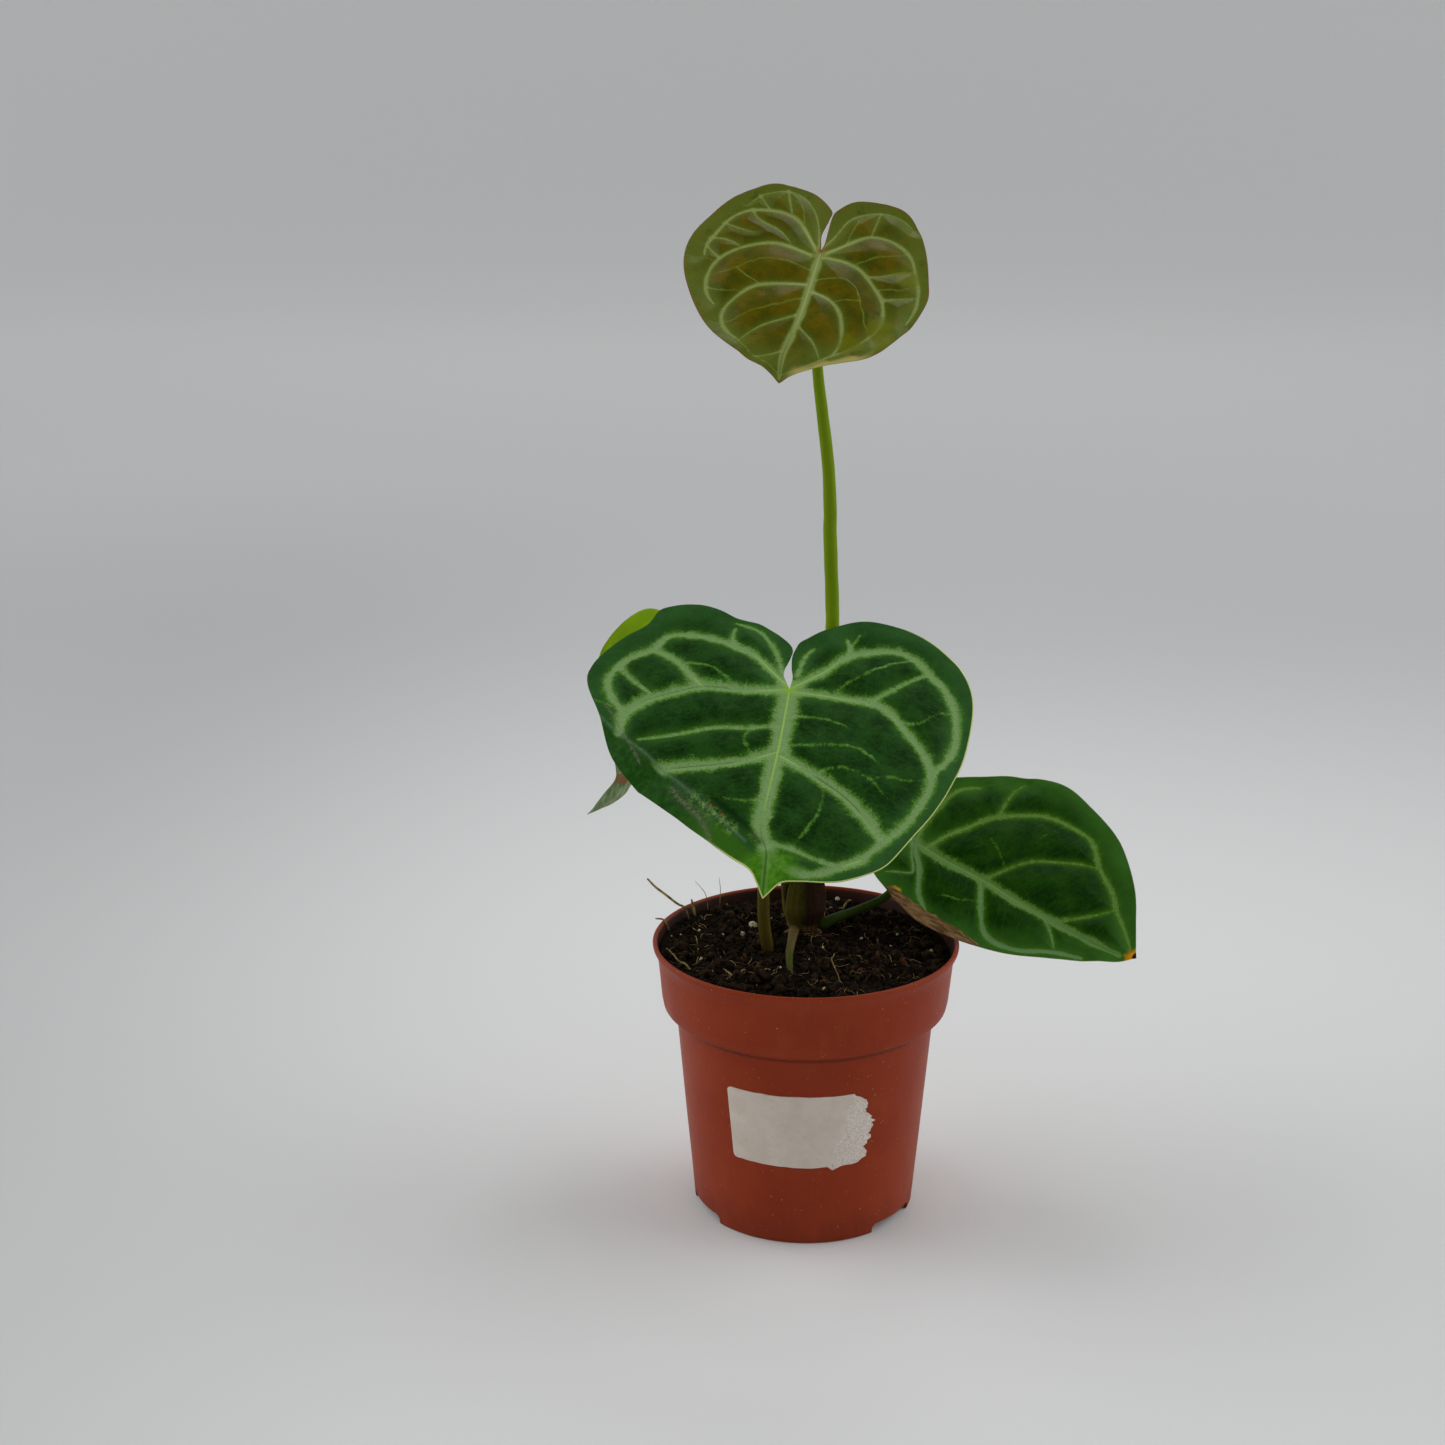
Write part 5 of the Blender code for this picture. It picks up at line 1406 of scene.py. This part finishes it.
def open_places(count, reach=PLACE_REACH):
    """Places on the mix, clear of the crown, the front stalk and the root."""
    found = np.zeros((0, 2))
    while len(found) < count:
        r = reach * np.sqrt(draw.random(count))
        turn = 2 * pi * draw.random(count)
        spots = np.stack([r * np.cos(turn), r * np.sin(turn)], -1)
        clear = np.hypot(*(spots - CROWN).T) > CROWN_RADIUS + CROWN_CLEAR
        clear &= np.hypot(*(spots - FRONT_STALK).T) > STALK_CLEAR
        low, high = np.array([ROOT_X, ROOT_Y]).T
        clear &= ~((spots > low) & (spots < high)).all(axis=1)
        found = np.vstack([found, spots[clear]])
    return found[:count]


def on_mix(spots, lift):
    """Flat places as points that stand a little above the mix."""
    return np.column_stack([spots, mix_height(*spots.T) + lift])


def sizes_for(places, least, most, low, high):
    """Three half sizes for each place: a drawn size, times a drawn factor for each axis."""
    return draw.uniform(least, most, (len(places), 1)) * draw.uniform(low, high, (len(places), 3))


# %% Crumbs
def make_crumbs():
    """Peat crumbs of two sizes, half sunk."""
    small, large = open_places(1500), open_places(230, 53.0)
    small_sizes = sizes_for(small, 0.35, 1.0, 0.7, 1.3)
    large_sizes = sizes_for(large, 1.1, 2.7, 0.65, 1.25)
    parts = [scatter(BALL, on_mix(small, 0.2), small_sizes, 0.3),
             scatter(PEBBLE, on_mix(large, 0.4), large_sizes, 0.35)]
    skin = peat("crumb_skin", tint(12, 9, 6), tint(54, 38, 22), 2.4, tint(108, 88, 60))
    build("crumbs", *joined(parts), skin, "mix")


make_crumbs()


# %% Perlite
def perlite_skin():
    """Puffed white glass: chalky, with tiny holes and peat dust."""
    skin = Finish("perlite", Specular_IOR_Level=0.1)
    at = skin.place()
    dust = skin.noise(at, 0.9, 4.0, 0.65)
    pits = skin.cells(at, 0.6)
    skin.feed("Base Color", skin.mix(dust.rise(0.48, 0.72), tint(196, 180, 148), tint(110, 90, 62)))
    skin.feed("Roughness", 0.75 + 0.2 * dust)
    skin.bump(pits, 0.3)
    return skin


# Grains that show in the view: place, half length and half width.
PERLITE = [(-21.1, 18.9, 2.0, 1.8), (-25.6, 10.1, 3.0, 1.5), (7.1, 40.1, 0.9, 0.8),
           (22.1, 9.9, 0.8, 0.6), (33.8, 6.7, 0.7, 0.5), (36.4, 12.6, 0.6, 0.5),
           (49.3, 0.5, 0.9, 0.7), (35.9, -26.5, 0.8, 0.6), (7.2, -41.3, 0.9, 0.7),
           (-42.4, 10.5, 0.6, 0.5), (-36.6, -3.0, 0.6, 0.5), (-32.7, 6.6, 0.5, 0.4),
           (-40.2, -18.6, 0.8, 0.6), (13.0, 53.0, 1.2, 1.0)]


def make_perlite():
    """The grains that show best, as listed, and a draw of small ones."""
    named = np.array(PERLITE)
    small = open_places(26)
    sizes = np.column_stack([named[:, 2], named[:, 3], named[:, 3] * 0.9])
    small_sizes = sizes_for(small, 0.2, 0.45, 0.8, 1.2)
    parts = [scatter(split(*PEBBLE), on_mix(named[:, :2], 0.9), sizes, 0.12),
             scatter(PEBBLE, on_mix(small, 0.45), small_sizes, 0.2)]
    build("perlite_grains", *joined(parts), perlite_skin(), "mix")


make_perlite()


# %% Bark chips
def bark_skin():
    """Reddish bark and wood fibre, streaked along its grain."""
    skin = Finish("bark", Specular_IOR_Level=0.08)
    at = skin.place()
    streak = skin.noise(at, 0.7, 4.0, 0.7, stretch=(0.4, 1.4, 1.0))
    patch = skin.noise(at, 5.0, 2.0, 0.5)
    skin.feed("Base Color", skin.coats(
        tint(44, 24, 14),
        (streak.rise(0.35, 0.7), tint(98, 58, 34)),
        (patch.rise(0.52, 0.62), tint(52, 34, 22))))
    skin.feed("Roughness", 0.65 + 0.2 * streak)
    skin.bump(streak, 0.5)
    return skin


CHIPS = [(-24.4, -17.9), (-1.2, -20.0), (24.0, -32.0), (38.0, -12.0), (-36.0, -26.0), (8.0, -34.0),
         (30.0, 18.0)]      # those that show in the view


def make_chips():
    """Flat splinters of bark: balls squeezed thin and long."""
    spots = np.vstack([CHIPS, open_places(46, 52.0)])
    long_side = draw.uniform(1.0, 3.2, len(spots))
    sizes = np.column_stack([long_side, long_side * draw.uniform(0.2, 0.45, len(spots)),
                             draw.uniform(0.25, 0.6, len(spots))])
    build("bark_chips", *scatter(PEBBLE, on_mix(spots, 0.7), sizes, 0.3), bark_skin(), "mix")


make_chips()


# %% Fibres
def straw_skin(name, pale, brown):
    """Dry root thread or straw, blotched along its length."""
    skin = Finish(name, Specular_IOR_Level=0.1)
    at = skin.place()
    blotch = skin.noise(at, 3.0, 3.0, 0.6)
    skin.feed("Base Color", skin.mix(blotch.rise(0.35, 0.65), pale, brown))
    skin.feed("Roughness", 0.6 + 0.2 * blotch)
    return skin


# Threads that show in the view, as points of (x, y, height above the mix, radius).
THREADS = [
    [(-43.8, 7.2, 1.0, 0.2), (-42.4, -3, 1.3, 0.22), (-41.6, -13.6, 1.0, 0.22), (-42.5, -19.7, 0.4, 0.15)],
    [(-28.2, -30.1, 0.8, 0.38), (-22.9, -28.9, 1.1, 0.42), (-18, -27.7, 0.9, 0.36),
     (-13.6, -26.4, 0.6, 0.24)],
    [(-28.2, -30.1, 0.8, 0.34), (-30, -27.5, 0.8, 0.28), (-31.5, -25.3, 0.4, 0.18)],
    [(-28.2, -30.1, 0.8, 0.34), (-29, -33, 0.7, 0.28), (-29.9, -36, 0.3, 0.18)],
    [(11.2, -6.3, 1.0, 0.2), (10, -16.6, 1.2, 0.22), (13, -30.4, 1.0, 0.22), (13.2, -45.8, 0.3, 0.16)],
    [(7.9, 39, 1.2, 0.55), (13.6, 44.4, 1.6, 0.6), (18.6, 49.4, 1.2, 0.45)],
    [(-54.3, -8.5, 1.4, 0.28), (-50.5, -15.5, 1.2, 0.3), (-46.3, -21.9, 0.7, 0.24), (-41, -27, 0.2, 0.2)]]
# Hairs that stand over the rim, as points of (x, y, z, radius).
OVER_RIM = [
    [(-47, 28.5, 105.0, 0.36), (-49, 29.8, 110.4, 0.44), (-52.3, 31.2, 111.8, 0.5),
     (-57.5, 34.5, 114.6, 0.52), (-61.6, 37, 116.8, 0.5), (-64.7, 39, 119.3, 0.4)],
    [(-54, 14.5, 105.2, 0.3), (-56.6, 15.4, 110.6, 0.38), (-60.0, 16.4, 111.0, 0.3)],
    [(-40, 39, 106, 0.14), (-41.2, 39.6, 113, 0.14), (-45.4, 41, 118, 0.07)],
    [(-35.4, 41, 106, 0.14), (-35.1, 41, 114, 0.14), (-35.6, 41, 119.5, 0.07)],
    [(-45, 32, 105.4, 0.5), (-46, 33.4, 110, 0.6), (-46.6, 34.2, 112.4, 0.35)]]


def make_fibres():
    """Loose threads: the ones above and a draw of short curved ones, each a thin tube on the mix."""
    lines = []
    for thread in THREADS:
        line = curve(thread, 26)
        line[:, 2] += mix_height(line[:, 0], line[:, 1])
        lines.append((line, 7))
    lines += [(curve(hair, 30), 7) for hair in OVER_RIM]
    for x, y in open_places(150, 53.0):
        heading = draw.uniform(0, 2 * pi)
        bend = draw.uniform(-1.2, 1.2)
        length = draw.uniform(2.5, 11.0)
        run = np.linspace(-0.5, 0.5, 10)
        angle = heading + bend * run
        px, py = x + length * run * np.cos(angle), y + length * run * np.sin(angle)
        inside = np.minimum(PLACE_REACH / np.hypot(px, py), 1)
        px, py = px * inside, py * inside
        lift = 0.25 + draw.uniform(0, 1.6) * (0.25 - run ** 2) * 4 * draw.random()
        radius = draw.uniform(0.06, 0.15) * (1.1 - 1.5 * run ** 2)
        lines.append((np.column_stack([px, py, mix_height(px, py) + lift, radius]), 5))
    parts = [tube(line, sides, across=(0.12, 0.08, 1.0)) for line, sides in lines]
    build("fibres", *joined(parts), straw_skin("straw", tint(150, 136, 84), tint(92, 68, 40)), "mix")


make_fibres()

# %% [markdown]
# Pot
#
# The pot is thin brown-red plastic, moulded with a deep collar, a lip, a foot with three notches
# and a drained floor. It is turned from a profile. The notches and the holes are not round the
# axis, so they are cut with Boolean modifiers, which are applied. The finish is satin plastic with
# scuffs, pale dust on the collar and wall, mix splashed low down, a darker inside above the mix,
# and a line of painted shade under the collar's step.

# %% Pot profile
POT_HEIGHT = 110.0
LIP_RADIUS = 60.2
COLLAR_TOP = 103.0
COLLAR_TOP_RADIUS = 58.0
COLLAR_FOOT = 87.5
COLLAR_FOOT_RADIUS = 56.5
STEP_HEIGHT = 80.6
WALL_TOP_RADIUS = 50.75
FOOT_RADIUS = 43.6
WALL = 1.2
FLOOR = 4.0
PAD_RADIUS = 22.0
POT_STEPS = 216
NOTCH_WIDTH = 25.0
NOTCH_TURN = -5.0
NOTCH_ARCH = [(-1, -4.2), (-1, 2.4), (-0.93, 3.5), (-0.86, 3.8), (0.86, 3.8), (0.93, 3.5), (1, 2.4),
              (1, -4.2)]    # share of the half width, and height
NOTCH_REACH = 6.0           # of its cutter, to either side of the foot's wall
DRAIN_RADIUS = 4.0
DRAIN_CIRCLE = 32.5
DRAIN_SIDES = 32
DRAIN_SPAN = (0.6, 8.8)     # heights of its cutter's ends
MID_WALL = 57.4             # a radius inside the collar's wall, at its top
LIP_FLARE = 0.22


def wall_radius(height):
    """Outer radius of the wall below the collar."""
    return FOOT_RADIUS + (WALL_TOP_RADIUS - FOOT_RADIUS) * height / STEP_HEIGHT


def rounded(corners, radius=0.35, count=4):
    """A profile whose corners are replaced by short arcs: points of the quadratic curve
    (1-t)² p + 2t(1-t) corner + t² q between places near the corner on its two sides."""
    corners = np.array(corners, float)
    out = [corners[:1]]
    t = np.linspace(0, 1, count)[:, None]
    for before, corner, after in zip(corners[:-2], corners[1:-1], corners[2:]):
        reach = [min(radius, 0.45 * np.linalg.norm(side - corner)) for side in (before, after)]
        p = corner + reach[0] * (before - corner) / np.linalg.norm(before - corner)
        q = corner + reach[1] * (after - corner) / np.linalg.norm(after - corner)
        out.append((1 - t) ** 2 * p + 2 * t * (1 - t) * corner + t ** 2 * q)
    return np.vstack(out + [corners[-1:]])


INSIDE_UP = [(0, 1.4), (PAD_RADIUS, 1.4), (PAD_RADIUS + 2, FLOOR + 1.4),
             (wall_radius(FLOOR + 1.4) - WALL, FLOOR + 1.4), (WALL_TOP_RADIUS - WALL, STEP_HEIGHT),
             (COLLAR_FOOT_RADIUS - WALL - 0.8, 84.4), (COLLAR_FOOT_RADIUS - WALL, COLLAR_FOOT + 0.4),
             (COLLAR_TOP_RADIUS - WALL, COLLAR_TOP), (LIP_RADIUS - 2, POT_HEIGHT - 1.2)]
OUTSIDE_DOWN = [(LIP_RADIUS - 1.4, POT_HEIGHT), (LIP_RADIUS - 0.4, POT_HEIGHT),
                (LIP_RADIUS, POT_HEIGHT - 0.6), (LIP_RADIUS - 0.2, POT_HEIGHT - 2),
                (COLLAR_TOP_RADIUS + 0.9, COLLAR_TOP + 2.8), (COLLAR_TOP_RADIUS, COLLAR_TOP),
                (COLLAR_FOOT_RADIUS, COLLAR_FOOT), (COLLAR_FOOT_RADIUS - 0.7, 84),
                (WALL_TOP_RADIUS + 0.8, STEP_HEIGHT + 0.3), (WALL_TOP_RADIUS, STEP_HEIGHT - 0.4),
                (FOOT_RADIUS + 0.1, 0.8), (FOOT_RADIUS - 0.3, 0), (FOOT_RADIUS - WALL, 0),
                (FOOT_RADIUS - WALL, FLOOR), (PAD_RADIUS + 3, FLOOR), (PAD_RADIUS + 1, 0), (0, 0)]


def subdivided(profile, longest):
    """The same profile with long straight stretches split, so that noise and cuts have points."""
    profile = np.asarray(profile, float)
    out = [profile[:1]]
    for a, b in zip(profile[:-1], profile[1:]):
        n = max(1, int(np.ceil(np.linalg.norm(b - a) / longest)))
        out.append(a + (b - a) * np.linspace(0, 1, n + 1)[1:, None])
    return np.vstack(out)


print("outer radius at the sticker:", round(wall_radius(49.6), 1), "mm")


# %% Pot finish
def pot_skin():
    """Satin plastic: faint mould streaks, a few scuffs and specks, painted shade under the collar's step,
    and a darker inside above the mix.
    """
    skin = Finish("pot_plastic", Specular_IOR_Level=0.16)
    at = skin.place()
    x, y, z = skin.parts(at)
    away = (x * x + y * y) ** 0.5
    cloud = skin.noise(at, 26.0, 3.0, 0.55)
    smear = skin.noise(at, 9.0, 4.0, 0.65, stretch=(1.0, 1.0, 0.35))
    fine = skin.noise(at, 0.8, 3.0, 0.6)
    scuff = skin.noise(at, 2.2, 4.0, 0.7, stretch=(1.0, 1.0, 0.18))
    speck = skin.noise(at, 0.7, 1.0, 0.4)
    crust = skin.noise(at, 1.1, 2.0, 0.5)
    dirt = (z.rise(34.0, 2.0) * 0.55 + smear * 0.5 + scuff * 0.45).rise(0.80, 1.15)
    # Painted shade: a dark line under the collar's step.
    groove = ((z - STEP_HEIGHT) * (z - STEP_HEIGHT)).rise(1.6, 0.1)
    side = (x * x).rise(1200.0, 2600.0)
    # Darker on the inside of the wall above the mix, up to the lip.
    within = MID_WALL + (z - COLLAR_TOP) * LIP_FLARE - away
    inner_darkening = within.rise(0.1, 0.5) * z.rise(100.5, 103.0) * z.rise(110.0, 108.8)
    skin.feed("Base Color", skin.coats(
        tint(134, 44, 12),
        (cloud.rise(0.3, 0.7), tint(142, 50, 16)),
        (smear.rise(0.50, 0.74) * 0.2, tint(152, 72, 34)),
        (dirt * 0.4, tint(96, 44, 28)),
        (scuff.rise(0.66, 0.78) * 0.25, tint(170, 104, 78)),
        (speck.rise(0.77, 0.79) * 0.8, tint(200, 176, 156)),
        # painted shade under the collar's step, mixed with the smears
        (groove * (0.25 + 0.5 * smear), tint(62, 24, 12)),
        (crust.rise(0.70, 0.74) * side * 0.8, tint(48, 28, 18)),
        # darker inside above the mix
        ((inner_darkening * (0.75 + 0.4 * smear)).least(1.0), tint(42, 22, 13))))
    skin.feed("Roughness", 0.36 + 0.22 * smear + 0.12 * dirt)
    skin.bump(fine * 0.6 + scuff * 0.4, 0.06)
    return skin


# %% Pot body
def prism(first, last):
    """Points and faces of a block between two like outlines."""
    count = len(first)
    sides = [[i, (i + 1) % count, count + (i + 1) % count, count + i] for i in range(count)]
    ends = [list(range(count))[::-1], list(range(count, 2 * count))]
    return np.vstack([first, last]), ends + sides


def notch_cutter(turn):
    """The notch's arch carried along Y across the foot's wall, then turned about the axis."""
    x, z = (np.array(NOTCH_ARCH) * (NOTCH_WIDTH / 2, 1)).T
    ends = [np.column_stack([x, np.full(len(x), reach - FOOT_RADIUS), z])
            for reach in (-NOTCH_REACH, NOTCH_REACH)]
    points, faces = prism(*ends)
    return points @ np.array(Matrix.Rotation(turn, 3, "Z")).T, faces


def drain_cutter(turn):
    """A round upright block on the circle of drain holes."""
    ring = np.linspace(0, 2 * pi, DRAIN_SIDES, endpoint=False)
    x = DRAIN_CIRCLE * np.cos(turn) + DRAIN_RADIUS * np.cos(ring)
    y = DRAIN_CIRCLE * np.sin(turn) + DRAIN_RADIUS * np.sin(ring)
    return prism(*[np.column_stack([x, y, np.full(DRAIN_SIDES, z)]) for z in DRAIN_SPAN])


def cut_away(obj, points, faces):
    """Takes a block out of an object and applies the cut at once."""
    mesh = bpy.data.meshes.new("cutter")
    mesh.from_pydata((points * MM).tolist(), [], faces)
    cutter = bpy.data.objects.new("cutter", mesh)
    bpy.context.scene.collection.objects.link(cutter)
    cut = obj.modifiers.new("Cut", "BOOLEAN")
    cut.operation = "DIFFERENCE"
    cut.object = cutter
    graph = bpy.context.evaluated_depsgraph_get()
    mesh = bpy.data.meshes.new_from_object(obj.evaluated_get(graph))
    obj.modifiers.clear()
    obj.data = mesh
    bpy.data.objects.remove(cutter)


def make_pot():
    """Turned profile, less three notches in the foot and six holes in the floor."""
    inside = rounded(INSIDE_UP + OUTSIDE_DOWN[:1], 0.6)[:-1]
    outside = rounded(INSIDE_UP[-1:] + OUTSIDE_DOWN, 0.45)[1:]
    profile = subdivided(np.vstack([inside, outside]), 4.0)
    grid, triangles = lathe(profile, POT_STEPS)
    wobble = 0.18 * rough(grid, 38.0, 2) + 0.05 * rough(grid, 9.0, 3)
    out = grid * (1, 1, 0) / np.maximum(np.hypot(grid[..., 0], grid[..., 1]), 1)[..., None]
    grid = grid + out * (wobble * np.clip(grid[..., 2] / 20, 0, 1))[..., None]
    pot = build("pot_shell", grid, triangles, pot_skin(), "pot_plastic", ("pot",))
    for k in range(3):
        cut_away(pot, *notch_cutter(radians(NOTCH_TURN + 60 + 120 * k)))
    for k in range(6):
        cut_away(pot, *drain_cutter(2 * pi * (k + 0.5) / 6))
    pot.data.shade_smooth()
    pot.data.set_sharp_from_angle(angle=radians(38))
    print("pot after cuts:", len(pot.data.polygons), "faces")


make_pot()

# %% [markdown]
# Sticker
#
# A paper label wrapped on the wall. Its print is left off: it is bare paper, with rounded corners
# on the left and a torn, frayed right end where its top layer has come away. A flat image would
# need a cut-out shader, so the torn outline is in the mesh: each row ends where the tear says.

# %% Sticker
STICKER_CENTRE = (-1.0, 49.6)
STICKER_THICK = 0.22
STICKER_HALF = 15.4         # half its height
STICKER_LEFT = -28.8
STICKER_LEAN = 0.045        # of its left edge
STICKER_CORNER = 1.8
TEAR = [(-17, 12.0), (-15.2, 20.5), (-13, 27.3), (-9, 26.8), (-3, 26.7), (-0.6, 29.3), (3.5, 28.5),
        (8, 25.2), (10, 25.9), (12, 23.4), (15.2, 20.0)]    # height and how far right the paper goes
LOWER_EDGE = [(-28, -14.9), (4, -15.6), (10.5, -15.2), (12.5, -17.0), (15.7, -15.5), (20, -15.2)]


def paper_skin():
    """Matt paper: faint fibres, soil smudges, and a whiter fuzzy core where the face is torn off."""
    skin = Finish("label_paper", Specular_IOR_Level=0.3)
    at = skin.place()
    fibre = skin.noise(at, 0.5, 4.0, 0.7)
    cloud = skin.noise(at, 8.0, 3.0, 0.6)
    speck = skin.noise(at, 0.9, 2.0, 0.5)
    torn = skin.field("torn")
    bare = torn.rise(0.3, 0.6)
    skin.feed("Base Color", skin.coats(
        tint(211, 199, 187),
        (cloud.rise(0.3, 0.7), tint(201, 188, 175)),
        (bare * fibre.rise(0.3, 0.65), tint(224, 215, 206)),
        (bare * fibre.rise(0.52, 0.42) * 0.5, tint(172, 154, 140)),
        (speck.rise(0.70, 0.76) * 0.5, tint(112, 88, 72))))
    skin.feed("Roughness", 0.6 + 0.3 * torn)
    skin.bump(fibre, 0.15)
    return skin


def make_sticker():
    """Rows run round the wall from the left edge to the tear; the sheet lies on the wall and its
    torn end is thinner and lifts a little."""
    b, a = np.meshgrid(np.linspace(-1, 1, 121), np.linspace(0, 1, 201), indexing="ij")
    up = b * STICKER_HALF
    corner = np.clip(1 - (STICKER_HALF - np.abs(up)) / STICKER_CORNER, 0, 1)
    rounding = STICKER_CORNER * (1 - np.sqrt(np.clip(1 - corner ** 2, 0, 1)))
    left = STICKER_LEFT - STICKER_LEAN * up + rounding
    right = np.interp(up, *np.array(TEAR).T) + 1.2 * layers(np.stack([up, 0 * up], -1), 2.2, 4, 4, 0.6)
    along = left + (right - left) * a
    height = np.where(b < 0, b * -np.interp(along, *np.array(LOWER_EDGE).T), up)
    height = height + 0.12 * rough(np.stack([along, up], -1), 3.0, 2)
    flat = np.stack([along, height], -1)
    torn = smooth(along + 2.2 * layers(flat, 4.5, 3, 8) - 0.25 * height, 15.5, 17.5)
    edge = 1 - smooth(right - along, 0, 1.2)
    lift = 0.06 + 0.25 * edge * (0.5 + 0.5 * rough(flat, 3.0, 9)) + 0.03 * rough(flat, 6.0, 3)
    thick = STICKER_THICK * (1 - 0.45 * torn) + 0.10 * torn * rough(flat, 0.9, 5)
    middle_x, middle_z = STICKER_CENTRE
    angle = (along + middle_x) / wall_radius(middle_z)
    z = height + middle_z
    sheets = [np.stack([r * np.sin(angle), -r * np.cos(angle), z], -1)
              for r in (wall_radius(z) + 0.12 + lift + thick, wall_radius(z) - 0.1 + 0 * lift)]
    points, triangles = slab(sheets[0], sheets[1][::2, ::2])
    fields = dict(torn=np.concatenate([torn.ravel(), torn[::2, ::2].ravel()]))
    build("paper_label", points, triangles, paper_skin(), "label_paper", ("sticker",), fields)


make_sticker()

# %% [markdown]
# Close
#
# The new surfaces should fill the same box as the solids, to about a millimetre. The count of all triangles
# is printed.

# %% Triangles in all
print("triangles in all:", sum(len(p.data.polygons) for p in pieces))
